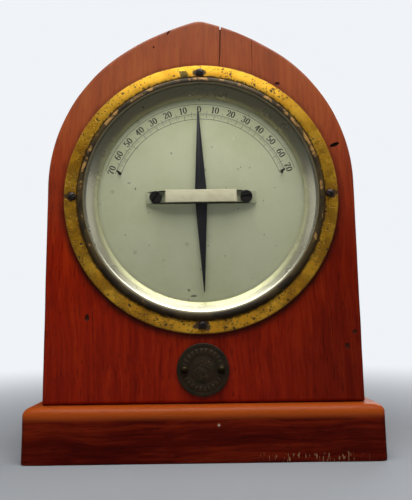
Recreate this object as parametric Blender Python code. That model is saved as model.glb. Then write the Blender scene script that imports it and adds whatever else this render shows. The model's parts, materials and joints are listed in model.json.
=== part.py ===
"""A vertical telegraph galvanometer: a pointed-arch mahogany case on a plinth, with a brass bezel.

A pointer and a bar magnet share one level staff, which runs between the bridge in front of the dial
and a cock behind it. The magnet swings inside two coils. A door at the back hangs on two hinges and
is kept by a turn-button, and two binding posts stand on the plinth's rear shelf.

Units are metres, +Z is up and the dial faces -Y. Most pieces are turned or cut from the front, so
they are drawn in face coordinates: u to the right, v up, and w forward from the plinth's middle.
"""

import math

import bmesh
import bpy
from mathutils import Vector

MM = 0.001
GAP = 0.3 * MM

# Plinth
PLINTH_WIDTH = 139.0 * MM
PLINTH_DEPTH = 90.0 * MM
PLINTH_HEIGHT = 20.8 * MM
PLINTH_EDGE = 3.0 * MM
PLINTH_CORNER = 2.4 * MM
SHELF_Y = 37.0 * MM

# Case: a four-centred arch, whose haunch and crown arcs on each side meet at the crown angle
CASE_BOTTOM = PLINTH_HEIGHT + GAP
CASE_HALF = 63.5 * MM
SPRING = 88.4 * MM
HAUNCH_RADIUS = 70.0 * MM
CROWN_RADIUS = 108.0 * MM
CROWN_START = math.radians(57.0)
APEX_RADIUS = 10.0 * MM
CASE_FRONT = 39.0 * MM
FRONT_BOARD = 8.0 * MM
WALL = 7.0 * MM
CASE_BACK = -29.0 * MM
BACK_BOARD = 6.7 * MM
RAIL_HEIGHT = 25.7 * MM
BACK_INNER = CASE_BACK + BACK_BOARD

# Dial and bezel, all on one axis
DIAL_HEIGHT = CASE_BOTTOM + 83.0 * MM
FLANGE_RADIUS = 56.2 * MM
GROOVE_OUTER = 50.9 * MM
GROOVE_INNER = 50.3 * MM
APERTURE = 47.5 * MM
BEAD_RADIUS = (GROOVE_INNER - APERTURE) / 2
FLANGE_THICK = 1.8 * MM
BEAD_FRONT = CASE_FRONT + 4.0 * MM
SKIRT_INNER = 48.8 * MM
SKIRT_OUTER = 50.0 * MM
SKIRT_BACK = 34.0 * MM
HOLE_RADIUS = 50.3 * MM
DIAL_FACE = 35.0 * MM
DIAL_THICK = 1.0 * MM
DIAL_EDGE = 43.4 * MM
SEAT_RADIUS = 48.4 * MM
GLASS_FRONT = 41.9 * MM
GLASS_THICK = 1.4 * MM
BEZEL_SCREW_CIRCLE = 52.7 * MM

# Pointer, its bridge and its stops
POINTER_LENGTH = 39.5 * MM
POINTER_HALF = 2.6 * MM
POINTER_BACK = DIAL_FACE + 1.8 * MM
POINTER_THICK = 0.4 * MM
REST_LEAN = math.radians(1.4)
BAR_HALF = 14.7 * MM
BRIDGE_HALF = 22.9 * MM
BRIDGE_WIDTH = 5.1 * MM
BRIDGE_THICK = 1.0 * MM
BAR_FRONT = DIAL_FACE + 5.0 * MM
BRIDGE_SCREW = 18.8 * MM
STOP_RADIUS = 36.0 * MM
STOP_ANGLE = math.radians(72.0)
STAFF_RADIUS = 0.6 * MM
PIVOT_RADIUS = 0.3 * MM

# Movement, behind the dial
BOARD_FRONT = DIAL_FACE - DIAL_THICK - GAP
BOARD_STEP = CASE_FRONT - FRONT_BOARD - GAP
BOARD_BACK = BOARD_STEP - 3.0 * MM
BOARD_RADIUS = 54.0 * MM
PLATE_FRONT = BOARD_BACK - GAP
PLATE_BACK = PLATE_FRONT - 2.0 * MM
PLATE_HALF = (30.0 * MM, 31.0 * MM)
COIL_W = 14.0 * MM
CORE_HALF = (3.0 * MM, 13.2 * MM)
CORE_WALL = 1.0 * MM
WINDING_DEPTH = 6.0 * MM
FLANGE_RIM = 8.0 * MM
COIL_INNER = 2.2 * MM
COIL_OUTER = 16.5 * MM
CHEEK = 1.2 * MM
MAGNET_HALF = 12.0 * MM
PILLAR_V = 26.0 * MM
PILLAR_RADIUS = 2.5 * MM
COCK_FRONT = -1.0 * MM
COCK_BACK = -3.0 * MM

# Name disc
DISC_HEIGHT = CASE_BOTTOM + 12.9 * MM
DISC_RADIUS = 10.4 * MM
DISC_THICK = 1.0 * MM
DISC_PIN = 7.25 * MM

# Door furniture
HINGE_LENGTH = 24.0 * MM
HINGE_CENTRES = {"lower": CASE_BOTTOM + 42.0 * MM, "upper": CASE_BOTTOM + 76.0 * MM}
HINGE_AXIS = (CASE_HALF + 2.4 * MM, -BACK_INNER - GAP / 2)
KNUCKLE = 1.9 * MM
KNUCKLE_BORE = 1.2 * MM
HINGE_PIN = 0.9 * MM
LEAF_THICK = 1.0 * MM
BUTTON_X = -43.0 * MM
BUTTON_Z = CASE_BOTTOM + 18.5 * MM
KNOB_X = -50.0 * MM
KNOB_Z = CASE_BOTTOM + 68.0 * MM

# Binding posts
TERMINAL_X = 30.0 * MM
STUD_RADIUS = 2.0 * MM
STUD_TOP = PLINTH_HEIGHT + 19.0 * MM
COLLAR_RADIUS = 6.0 * MM
COLLAR_TOP = PLINTH_HEIGHT + GAP + 3.0 * MM
WASHER_THICK = 1.0 * MM
NUT_RADIUS = 6.2 * MM
NUT_HEIGHT = 7.5 * MM
STUD_BORE = STUD_RADIUS + GAP
UNDER_DEPTH = 7.0 * MM
UNDER_NUT_RADIUS = 4.2 * MM
LEAD_RADIUS = 0.8 * MM
LEAD_HOLE_Y = -24.0 * MM
CHANNEL_HALF = 2.5 * MM

# Segments round a circle, by size
FINE = 48
ARCH_STEPS = 10
MEDIUM = 20
SMALL = 14
DRILLED = 12

FACING = (math.radians(90), 0, 0)
BACKWARD = (math.radians(-90), 0, 0)


def clear_scene():
    for obj in list(bpy.data.objects):
        bpy.data.objects.remove(obj, do_unlink=True)


def material(name, colour, roughness, metallic=0.0):
    made = bpy.data.materials.new(name)
    made.use_nodes = True
    shader = made.node_tree.nodes["Principled BSDF"]
    shader.inputs["Base Color"].default_value = (*colour, 1.0)
    shader.inputs["Roughness"].default_value = roughness
    shader.inputs["Metallic"].default_value = metallic
    return made


def add(name, bm, finish, location=(0, 0, 0), rotation=(0, 0, 0), parent=None):
    """Makes an object of the bmesh, with its faces turned outwards."""
    bmesh.ops.recalc_face_normals(bm, faces=bm.faces)
    mesh = bpy.data.meshes.new(name)
    bm.to_mesh(mesh)
    bm.free()
    mesh.shade_smooth()
    mesh.set_sharp_from_angle(angle=math.radians(32))
    obj = bpy.data.objects.new(name, mesh)
    bpy.context.scene.collection.objects.link(obj)
    obj.location = location
    obj.rotation_euler = rotation
    obj.parent = parent
    if finish:
        mesh.materials.append(finish)
    return obj


def empty(name, location, rotation=(0, 0, 0)):
    obj = bpy.data.objects.new(name, None)
    bpy.context.scene.collection.objects.link(obj)
    obj.location = location
    obj.rotation_euler = rotation
    return obj


def combine(target, tool, operation):
    """Joins or cuts the target with a helper that stays out of the model."""
    tool.hide_render = True
    tool.display_type = "WIRE"
    modifier = target.modifiers.new(tool.name, "BOOLEAN")
    modifier.operation = operation
    modifier.solver = "EXACT"
    modifier.object = tool


def soften(obj, width, segments=1):
    """Rounds the sharp edges that are there before any cut."""
    modifier = obj.modifiers.new("soft_edges", "BEVEL")
    modifier.width = width
    modifier.segments = segments
    modifier.limit_method = "ANGLE"
    modifier.angle_limit = math.radians(40)


def arc(centre, radius, start, end, count):
    """Points along an arc, with both its ends, angles in radians."""
    steps = [start + (end - start) * i / count for i in range(count + 1)]
    return [(centre[0] + radius * math.cos(a), centre[1] + radius * math.sin(a)) for a in steps]


def turned(profile, steps, start=0.0):
    """Revolves a closed outline of (radius, height) about Z, from the start angle."""
    bm = bmesh.new()
    angles = [start + math.tau * i / steps for i in range(steps)]
    rings = []
    for radius, height in profile:
        around = angles if radius > 0 else [0.0]
        rings.append([bm.verts.new((radius * math.cos(a), radius * math.sin(a), height)) for a in around])
    for ring, following in zip(rings, rings[1:] + rings[:1]):
        if len(ring) == len(following) == 1:
            continue
        for i in range(steps):
            j = (i + 1) % steps
            corners = [ring[i % len(ring)], ring[j % len(ring)]]
            corners += [following[j % len(following)], following[i % len(following)]]
            bm.faces.new(dict.fromkeys(corners))
    return bm


def rod(radius, low, high, steps=SMALL, start=0.0):
    return turned([(0, low), (radius, low), (radius, high), (0, high)], steps, start)


def tube(inner, outer, low, high, steps=SMALL):
    return turned([(inner, low), (outer, low), (outer, high), (inner, high)], steps)


def plate(outline, low, high):
    """A flat piece: a closed outline of (u, v), from w = low to w = high."""
    bm = bmesh.new()
    face = bm.faces.new([bm.verts.new((u, v, low)) for u, v in outline])
    raised = bmesh.ops.extrude_face_region(bm, geom=[face])["geom"]
    moved = [item for item in raised if isinstance(item, bmesh.types.BMVert)]
    bmesh.ops.translate(bm, vec=(0, 0, high - low), verts=moved)
    return bm


def stack(loops):
    """Closes a pile of level outlines, each (outline, height), into one solid."""
    bm = bmesh.new()
    rings = [[bm.verts.new((x, y, z)) for x, y in outline] for outline, z in loops]
    for below, above in zip(rings, rings[1:]):
        for i in range(len(below)):
            j = (i + 1) % len(below)
            bm.faces.new((below[i], below[j], above[j], above[i]))
    bm.faces.new(rings[0])
    bm.faces.new(rings[-1])
    return bm


def box(low, high):
    bm = bmesh.new()
    bmesh.ops.create_cube(bm, size=1.0)
    low, high = Vector(low), Vector(high)
    bmesh.ops.scale(bm, vec=high - low, verts=bm.verts)
    bmesh.ops.translate(bm, vec=(low + high) / 2, verts=bm.verts)
    return bm


def rounded_rectangle(half_x, half_y, radius, count=4):
    corners = ((1, 1, 0), (-1, 1, 1), (-1, -1, 2), (1, -1, 3))
    points = []
    for sx, sy, quarter in corners:
        centre = (sx * (half_x - radius), sy * (half_y - radius))
        start = quarter * math.pi / 2
        points += arc(centre, radius, start, start + math.pi / 2, count)
    return points


def stadium(half_length, half_width, count=8):
    centre = half_length - half_width
    right = arc((centre, 0), half_width, -math.pi / 2, math.pi / 2, count)
    left = arc((-centre, 0), half_width, math.pi / 2, 3 * math.pi / 2, count)
    return right + left


def arch_side(inset, bottom, count):
    """The right half of the arch, from its foot up to the middle of the apex."""
    haunch = (CASE_HALF - HAUNCH_RADIUS, SPRING)
    apart = CROWN_RADIUS - HAUNCH_RADIUS
    crown = (haunch[0] - apart * math.cos(CROWN_START), haunch[1] - apart * math.sin(CROWN_START))
    apex_radius = max(APEX_RADIUS - inset, 1 * MM)
    crown_radius = CROWN_RADIUS - inset
    rise = math.sqrt((crown_radius - apex_radius) ** 2 - crown[0] ** 2)
    touch = math.atan2(rise, -crown[0])
    side = [(CASE_HALF - inset, bottom)]
    side += arc(haunch, HAUNCH_RADIUS - inset, 0, CROWN_START, count)
    side += arc(crown, crown_radius, CROWN_START, touch, count // 2)[1:]
    side += arc((0, crown[1] + rise), apex_radius, touch, math.pi / 2, 3)[1:]
    return side


def arch_outline(inset=0.0, bottom=0.0):
    """The whole outline, from the right foot over the apex to the left foot."""
    right = arch_side(inset, bottom, ARCH_STEPS)
    left = [(-u, v) for u, v in reversed(right[:-1])]
    return right + left


def slotted_screw(name, finish, place, rotation, head, shank, domed=True):
    """A screw whose head sits at w = 0. head is (radius, height) and shank (radius, length)."""
    radius, height = head
    top = [(radius, height * 0.35), (radius * 0.72, height * 0.86), (radius * 0.3, height)]
    if not domed:
        top = [(radius, height * 0.86), (radius * 0.9, height)]
    profile = [(0, -shank[1]), (shank[0], -shank[1]), (shank[0], 0), (radius, 0), *top, (0, height)]
    screw = add(name, turned(profile, SMALL), finish, place, rotation)
    slot = (radius * 1.2, radius * 0.15, height)
    deep = height * 0.55
    cutter = add(name + "_slot", box((-slot[0], -slot[1], deep), (slot[0], slot[1], height * 1.5)), None)
    cutter.parent = screw
    combine(screw, cutter, "DIFFERENCE")
    return screw


def drill(target, name, radius, low, high, location, rotation=(0, 0, 0), parent=None):
    """Cuts a round hole. Its corners are turned a little, so that none meets an edge of the target."""
    cutter = add(name, rod(radius, low, high, DRILLED, math.radians(7)), None, location, rotation, parent)
    combine(target, cutter, "DIFFERENCE")


def rect_ring(profile, core):
    """A ring with rounded corners round the X axis. The profile is (x, how far out of the core)."""
    bm = bmesh.new()
    rings = []
    for x, out in profile:
        radius = 1.2 * MM + out
        outline = rounded_rectangle(core[0] + out, core[1] + out, radius, 3)
        rings.append([bm.verts.new((x, w, v)) for w, v in outline])
    for a, b in zip(rings, rings[1:] + rings[:1]):
        for i in range(len(a)):
            j = (i + 1) % len(a)
            bm.faces.new((a[i], a[j], b[j], b[i]))
    return bm


def make_materials():
    return {
        "front_wood": material("front_wood", (0.16, 0.028, 0.010), 0.38),
        "case_wood": material("case_wood", (0.14, 0.024, 0.009), 0.42),
        "plinth_wood": material("plinth_wood", (0.13, 0.021, 0.007), 0.40),
        "inner_wood": material("inner_wood", (0.20, 0.075, 0.030), 0.65),
        "brass": material("brass", (0.42, 0.28, 0.07), 0.42, 0.9),
        "clean_brass": material("clean_brass", (0.60, 0.42, 0.15), 0.32, 1.0),
        "silver": material("silver", (0.45, 0.46, 0.33), 0.45, 0.2),
        "ring_white": material("ring_white", (0.72, 0.69, 0.54), 0.35, 0.1),
        "ivory": material("ivory", (0.66, 0.60, 0.40), 0.45),
        "black": material("black", (0.012, 0.012, 0.016), 0.4),
        "dark_steel": material("dark_steel", (0.03, 0.025, 0.022), 0.45, 0.8),
        "bronze": material("bronze", (0.022, 0.015, 0.007), 0.5, 0.7),
        "glass": material("glass", (0.95, 0.97, 0.97), 0.02),
        "steel": material("steel", (0.35, 0.35, 0.36), 0.35, 1.0),
        "silk": material("silk", (0.02, 0.10, 0.045), 0.8),
        "vulcanite": material("vulcanite", (0.015, 0.013, 0.012), 0.4),
    }


def make_plinth(mats):
    half_x, half_y = PLINTH_WIDTH / 2, PLINTH_DEPTH / 2
    loops = []
    for inset, height in ((0.5 * MM, 0.0), (0.0, 0.5 * MM)):
        loops.append((rounded_rectangle(half_x - inset, half_y - inset, PLINTH_CORNER), height))
    for u, v in arc((0, PLINTH_HEIGHT - PLINTH_EDGE), PLINTH_EDGE, 0, math.pi / 2, 4):
        inset = PLINTH_EDGE - u
        corner = PLINTH_CORNER + inset * 0.4
        loops.append((rounded_rectangle(half_x - inset, half_y - inset, corner), v))
    plinth = add("plinth", stack(loops), mats["plinth_wood"])
    for side, x in (("left", -TERMINAL_X), ("right", TERMINAL_X)):
        channel = box((x - CHANNEL_HALF, LEAD_HOLE_Y - CHANNEL_HALF, -1 * MM),
                      (x + CHANNEL_HALF, SHELF_Y, UNDER_DEPTH - 0.6 * MM))
        combine(plinth, add("channel_" + side, channel, None), "DIFFERENCE")
        drill(plinth, "stud_recess_" + side, 5.6 * MM, -1 * MM, UNDER_DEPTH, (x, SHELF_Y, 0))
        drill(plinth, "stud_hole_" + side, STUD_BORE, 0, 30 * MM, (x, SHELF_Y, 0))
        drill(plinth, "lead_hole_" + side, 1.8 * MM, 0, 30 * MM, (x, LEAD_HOLE_Y, 0))
    for side, x in foot_screw_places():
        drill(plinth, "foot_recess_" + side, 3.6 * MM, -1 * MM, 6 * MM, (x, 0, 0))
        drill(plinth, "foot_hole_" + side, 1.8 * MM, 0, 30 * MM, (x, 0, 0))


def foot_screw_places():
    middle = CASE_HALF - WALL / 2
    return (("left", -middle), ("right", middle))


def make_case(mats):
    at = (0, 0, CASE_BOTTOM)
    front = add("case_front", plate(arch_outline(), CASE_FRONT - FRONT_BOARD, CASE_FRONT),
                mats["front_wood"], at, FACING)
    soften(front, 1.2 * MM)
    dial_hole = rod(HOLE_RADIUS, 20 * MM, 50 * MM, FINE, math.radians(1.7))
    hole = add("dial_hole", dial_hole, None, (0, 0, DIAL_HEIGHT), FACING)
    combine(front, hole, "DIFFERENCE")
    for name, u, v in bezel_screw_places():
        place = (u, 0, DIAL_HEIGHT + v)
        drill(front, "pilot_" + name, 1.2 * MM, CASE_FRONT - 6.5 * MM, 50 * MM, place, FACING)
    for side, u in (("left", -DISC_PIN), ("right", DISC_PIN)):
        place = (u, 0, DISC_HEIGHT)
        drill(front, "disc_pilot_" + side, 1.0 * MM, CASE_FRONT - 5.5 * MM, 50 * MM, place, FACING)

    band = arch_outline() + arch_outline(inset=WALL)[::-1]
    arch = add("case_arch", plate(band, BACK_INNER + GAP, CASE_FRONT - FRONT_BOARD - GAP),
               mats["case_wood"], at, FACING)
    for side, x in foot_screw_places():
        drill(arch, "foot_pilot_" + side, 1.8 * MM, -1 * MM, 12 * MM, (x, 0, CASE_BOTTOM))

    rail_outline = [(-CASE_HALF, 0), (CASE_HALF, 0), (CASE_HALF, RAIL_HEIGHT), (-CASE_HALF, RAIL_HEIGHT)]
    rail = add("back_rail", plate(rail_outline, CASE_BACK, BACK_INNER), mats["case_wood"], at, FACING)
    soften(rail, 0.8 * MM)
    drill(rail, "button_pilot", 1.3 * MM, CASE_BACK - 2 * MM, CASE_BACK + 5.5 * MM,
          (BUTTON_X, 0, BUTTON_Z), FACING)


def bezel_screw_places():
    names = ("right", "top", "left", "bottom")
    places = []
    for index, name in enumerate(names):
        angle = index * math.pi / 2
        places.append((name, BEZEL_SCREW_CIRCLE * math.cos(angle), BEZEL_SCREW_CIRCLE * math.sin(angle)))
    return places


def bezel_profile():
    back = CASE_FRONT + GAP
    face = back + FLANGE_THICK
    bead_centre = ((APERTURE + GROOVE_INNER) / 2, BEAD_FRONT - BEAD_RADIUS)
    profile = [(SKIRT_OUTER, SKIRT_BACK), (SKIRT_OUTER, back), (FLANGE_RADIUS, back)]
    profile += [(FLANGE_RADIUS, face - 0.6 * MM), (FLANGE_RADIUS - 0.6 * MM, face)]
    profile += [(GROOVE_OUTER, face), (GROOVE_OUTER, face - 0.5 * MM), (GROOVE_INNER, face - 0.5 * MM)]
    profile += arc(bead_centre, BEAD_RADIUS, 0, math.pi, 4)
    lip_back = GLASS_FRONT + GAP
    profile[-1] = (APERTURE, lip_back)
    profile += [(SKIRT_INNER, lip_back), (SKIRT_INNER, SKIRT_BACK)]
    return profile


def make_bezel(mats):
    centre = (0, 0, DIAL_HEIGHT)
    bezel = add("bezel", turned(bezel_profile(), FINE), mats["brass"], centre, FACING)
    seat = CASE_FRONT + 2 * GAP + FLANGE_THICK
    for name, u, v in bezel_screw_places():
        place = (u, 0, DIAL_HEIGHT + v)
        drill(bezel, "flange_hole_" + name, 1.2 * MM, CASE_FRONT - 1 * MM, seat + 2 * MM, place, FACING)
        turn = math.radians(35.0) * (u + v) / BEZEL_SCREW_CIRCLE
        slotted_screw("bezel_screw_" + name, mats["dark_steel"], (u, -seat, DIAL_HEIGHT + v),
                      (FACING[0], turn, 0), (1.6 * MM, 1.1 * MM), (0.9 * MM, 8.0 * MM))

    glass_back = GLASS_FRONT - GLASS_THICK
    add("glass", rod(SKIRT_INNER - GAP, glass_back, GLASS_FRONT, FINE), mats["glass"], centre, FACING)
    ring_front = glass_back - GAP
    ring_back = DIAL_FACE + GAP
    ring = [(SKIRT_INNER - GAP, ring_back), (SKIRT_INNER - GAP, ring_front),
            (APERTURE - 0.2 * MM, ring_front), (DIAL_EDGE, ring_back + 0.4 * MM), (DIAL_EDGE, ring_back)]
    add("reflector_ring", turned(ring, FINE), mats["ring_white"], centre, FACING)


def stop_pin_places():
    reach = (STOP_RADIUS * math.sin(STOP_ANGLE), STOP_RADIUS * math.cos(STOP_ANGLE))
    return (("left", -reach[0], reach[1]), ("right", reach[0], reach[1]))


def make_dial(mats):
    centre = (0, 0, DIAL_HEIGHT)
    back = DIAL_FACE - DIAL_THICK
    dial = add("dial", tube(2.5 * MM, SEAT_RADIUS, back, DIAL_FACE, FINE), mats["silver"], centre, FACING)
    for name, u, v in stop_pin_places():
        place = (u, 0, DIAL_HEIGHT + v)
        drill(dial, "stop_hole_" + name, 0.85 * MM, back - 1 * MM, DIAL_FACE + 1 * MM, place, FACING)
        pin = turned([(0, back + 0.2 * MM), (0.55 * MM, back + 0.2 * MM), (0.55 * MM, DIAL_FACE + 2.8 * MM),
                      (0.3 * MM, DIAL_FACE + 3.2 * MM), (0, DIAL_FACE + 3.2 * MM)], 12)
        add("stop_pin_" + name, pin, mats["dark_steel"], place, FACING)

    profile = [(4.5 * MM, BOARD_BACK), (BOARD_RADIUS, BOARD_BACK), (BOARD_RADIUS, BOARD_STEP),
               (SEAT_RADIUS, BOARD_STEP), (SEAT_RADIUS, BOARD_FRONT), (4.5 * MM, BOARD_FRONT)]
    board = add("dial_board", turned(profile, FINE), mats["inner_wood"], centre, FACING)
    for side, u, turn in (("left", -BRIDGE_SCREW, -60.0), ("right", BRIDGE_SCREW, -4.0)):
        place = (u, 0, DIAL_HEIGHT)
        for target in (dial, board):
            drill(target, target.name + "_screw_hole_" + side, 1.5 * MM, 30.5 * MM, 50 * MM, place, FACING)
        seat = DIAL_FACE + 2 * GAP + BRIDGE_THICK
        slotted_screw("bridge_screw_" + side, mats["dark_steel"], (u, -seat, DIAL_HEIGHT),
                      (FACING[0], math.radians(turn), 0), (2.5 * MM, 2.0 * MM), (1.2 * MM, 5.0 * MM), False)


def make_bridge(mats):
    """A strip bent like a hat: two feet on the dial and a raised bar over the pivot."""
    foot = DIAL_FACE + GAP
    thick = BRIDGE_THICK
    upper = [(BRIDGE_HALF, foot + thick), (BAR_HALF, foot + thick), (BAR_HALF, BAR_FRONT)]
    lower = [(BRIDGE_HALF, foot), (BAR_HALF - thick, foot), (BAR_HALF - thick, BAR_FRONT - thick)]
    right = lower[::-1] + upper
    left = [(-u, w) for u, w in reversed(right)]
    bridge = add("pointer_bridge", plate(right + left, -BRIDGE_WIDTH / 2, BRIDGE_WIDTH / 2),
                 mats["ivory"], (0, 0, DIAL_HEIGHT), (0, 0, math.pi))
    for side, u in (("left", -BRIDGE_SCREW), ("right", BRIDGE_SCREW)):
        drill(bridge, "foot_hole_" + side, 1.5 * MM, 30 * MM, 39 * MM, (u, 0, DIAL_HEIGHT), FACING)
    cup_front = BAR_FRONT - thick - GAP
    cup = [(0, cup_front), (1.8 * MM, cup_front), (1.8 * MM, cup_front - 1.2 * MM),
           (0.5 * MM, cup_front - 1.2 * MM), (0.5 * MM, cup_front - 0.4 * MM), (0, cup_front - 0.4 * MM)]
    add("front_bearing", turned(cup, SMALL), mats["clean_brass"], (0, 0, DIAL_HEIGHT), FACING)


def make_needle(mats):
    """Everything that swings: its parent stands on the staff's axis, at the needle's resting lean."""
    axis = empty("needle_axis", (0, 0, DIAL_HEIGHT), (FACING[0], -REST_LEAN, 0))
    tip = 0.15 * MM
    lozenge = [(POINTER_HALF, 0), (tip, POINTER_LENGTH), (-tip, POINTER_LENGTH),
               (-POINTER_HALF, 0), (-tip, -POINTER_LENGTH), (tip, -POINTER_LENGTH)]
    front = POINTER_BACK + POINTER_THICK
    pointer = add("pointer", plate(lozenge, POINTER_BACK, front), mats["black"], parent=axis)
    drill(pointer, "pointer_hole", STAFF_RADIUS + GAP, 30 * MM, 45 * MM, (0, 0, 0), parent=axis)
    boss = tube(STAFF_RADIUS + GAP, 1.9 * MM, DIAL_FACE + 0.5 * MM, POINTER_BACK - GAP)
    add("pointer_boss", boss, mats["clean_brass"], parent=axis)

    shoulder = BAR_FRONT - BRIDGE_THICK - GAP - 1.2 * MM - 0.15 * MM
    rear = COCK_FRONT + 1.8 * MM
    back_end, front_end = rear - 0.9 * MM, shoulder + 0.7 * MM
    staff = [(0, back_end), (PIVOT_RADIUS, back_end), (PIVOT_RADIUS, rear), (STAFF_RADIUS, rear),
             (STAFF_RADIUS, shoulder), (PIVOT_RADIUS, shoulder), (PIVOT_RADIUS, front_end), (0, front_end)]
    add("staff", turned(staff, 12), mats["steel"], parent=axis)

    waist, end, heavier = 2.0 * MM, 1.1 * MM, 0.25 * MM
    outline = [(waist, 0), (end, MAGNET_HALF), (-end, MAGNET_HALF), (-waist, 0),
               (-end - heavier, -MAGNET_HALF), (end + heavier, -MAGNET_HALF)]
    magnet = add("magnet", plate(outline, COIL_W - 1.2 * MM, COIL_W + 1.2 * MM), mats["steel"], parent=axis)
    drill(magnet, "magnet_hole", STAFF_RADIUS + GAP, COIL_W - 3 * MM, COIL_W + 3 * MM, (0, 0, 0), parent=axis)


def make_movement(mats):
    centre = (0, 0, DIAL_HEIGHT)
    plate_outline = rounded_rectangle(PLATE_HALF[0], PLATE_HALF[1], 4 * MM)
    back_plate = add("movement_plate", plate(plate_outline, PLATE_BACK, PLATE_FRONT),
                     mats["clean_brass"], centre, FACING)
    drill(back_plate, "plate_hole", 4.0 * MM, PLATE_BACK - 5 * MM, PLATE_FRONT + 5 * MM, centre, FACING)

    for side, sign in (("left", -1), ("right", 1)):
        place = (0, -COIL_W, DIAL_HEIGHT)
        inner, outer = COIL_INNER * sign, COIL_OUTER * sign
        cheek = CHEEK * sign
        bobbin = [(inner, 0), (inner, FLANGE_RIM), (inner + cheek, FLANGE_RIM), (inner + cheek, CORE_WALL),
                  (outer - cheek, CORE_WALL), (outer - cheek, FLANGE_RIM), (outer, FLANGE_RIM), (outer, 0)]
        add("coil_bobbin_" + side, rect_ring(bobbin, CORE_HALF), mats["vulcanite"], place)
        first, last = inner + cheek + GAP * sign, outer - cheek - GAP * sign
        deep = CORE_WALL + GAP
        full = CORE_WALL + WINDING_DEPTH
        winding = [(first, deep), (first, full), (last, full), (last, deep)]
        add("coil_winding_" + side, rect_ring(winding, CORE_HALF), mats["silk"], place)

    cock = add("rear_cock", plate([(v, u) for u, v in stadium(PLATE_HALF[1], 5 * MM)], COCK_BACK, COCK_FRONT),
               mats["clean_brass"], centre, FACING)
    for side, v in (("lower", -PILLAR_V), ("upper", PILLAR_V)):
        place = (0, 0, DIAL_HEIGHT + v)
        pillar = tube(1.5 * MM, PILLAR_RADIUS, COCK_FRONT + GAP, PLATE_BACK - GAP)
        add("pillar_" + side, pillar, mats["clean_brass"], place, FACING)
        drill(cock, "cock_hole_" + side, 1.5 * MM, COCK_BACK - 1 * MM, COCK_FRONT + 1 * MM, place, FACING)
        slotted_screw("cock_screw_" + side, mats["steel"], (0, -COCK_BACK + GAP, DIAL_HEIGHT + v),
                      BACKWARD, (2.3 * MM, 1.5 * MM), (1.2 * MM, 8.0 * MM), False)
    drill(cock, "bearing_hole", 2.3 * MM, COCK_BACK - 1 * MM, COCK_FRONT + 1 * MM, centre, FACING)
    nose = -COCK_FRONT - 1.5 * MM
    tail = -COCK_BACK + 2.6 * MM
    bearing = [(0, tail), (1.6 * MM, tail), (2.0 * MM, tail - 0.4 * MM), (2.0 * MM, nose),
               (0.5 * MM, nose), (0.5 * MM, nose + 0.9 * MM), (0, nose + 0.9 * MM)]
    screw = add("rear_bearing", turned(bearing, SMALL), mats["steel"], centre, BACKWARD)
    slot_box = box((-3 * MM, -0.3 * MM, tail - 0.8 * MM), (3 * MM, 0.3 * MM, tail + 1 * MM))
    slot = add("rear_bearing_slot", slot_box, None)
    slot.parent = screw
    combine(screw, slot, "DIFFERENCE")


def make_disc(mats):
    back = CASE_FRONT + GAP
    front = back + DISC_THICK
    edge = 0.3 * MM
    profile = [(0, back), (DISC_RADIUS, back), (DISC_RADIUS, front - edge), (DISC_RADIUS - edge, front), (0, front)]
    disc = add("name_disc", turned(profile, 2 * MEDIUM), mats["bronze"], (0, 0, DISC_HEIGHT), FACING)
    for side, u in (("left", -DISC_PIN), ("right", DISC_PIN)):
        place = (u, 0, DISC_HEIGHT)
        drill(disc, "disc_hole_" + side, 1.0 * MM, back - 1 * MM, front + 1 * MM, place, FACING)
        seat = front + GAP
        pin = [(0, seat - 5.5 * MM), (0.7 * MM, seat - 5.5 * MM), (0.7 * MM, seat), (1.5 * MM, seat),
               (1.35 * MM, seat + 0.5 * MM), (0.8 * MM, seat + 0.95 * MM), (0, seat + 1.1 * MM)]
        add("disc_pin_" + side, turned(pin, SMALL), mats["bronze"], place, FACING)


def hinge_leaf(name, finish, sign, spans, parent, offset):
    """One leaf: a flat plate along the side of the case or door, and the knuckles at the given spans.

    The leaf is drawn round its own axis. sign is +1 when the plate runs back, along +Y.
    """
    inner = CASE_HALF + GAP - HINGE_AXIS[0]
    length = 6.2 * MM if sign > 0 else 9.5 * MM
    clear = KNUCKLE + GAP
    near, far = sorted((clear * sign, length * sign))
    leaf = add(name, box((inner, near, -HINGE_LENGTH / 2), (inner + LEAF_THICK, far, HINGE_LENGTH / 2)),
               finish, offset, parent=parent)
    for index, (low, high) in enumerate(spans):
        near, far = sorted((-0.2 * MM * sign, (clear + 0.4 * MM) * sign))
        arm = add(name + "_arm_" + str(index), box((inner, near, low), (inner + LEAF_THICK, far, high)),
                  None, offset, parent=parent)
        combine(leaf, arm, "UNION")
        knuckle = add(name + "_knuckle_" + str(index), rod(KNUCKLE, low, high, SMALL), None, offset,
                      parent=parent)
        combine(leaf, knuckle, "UNION")
    bore = add(name + "_bore", rod(KNUCKLE_BORE, -HINGE_LENGTH, HINGE_LENGTH, SMALL), None, offset,
               parent=parent)
    combine(leaf, bore, "DIFFERENCE")


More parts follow.
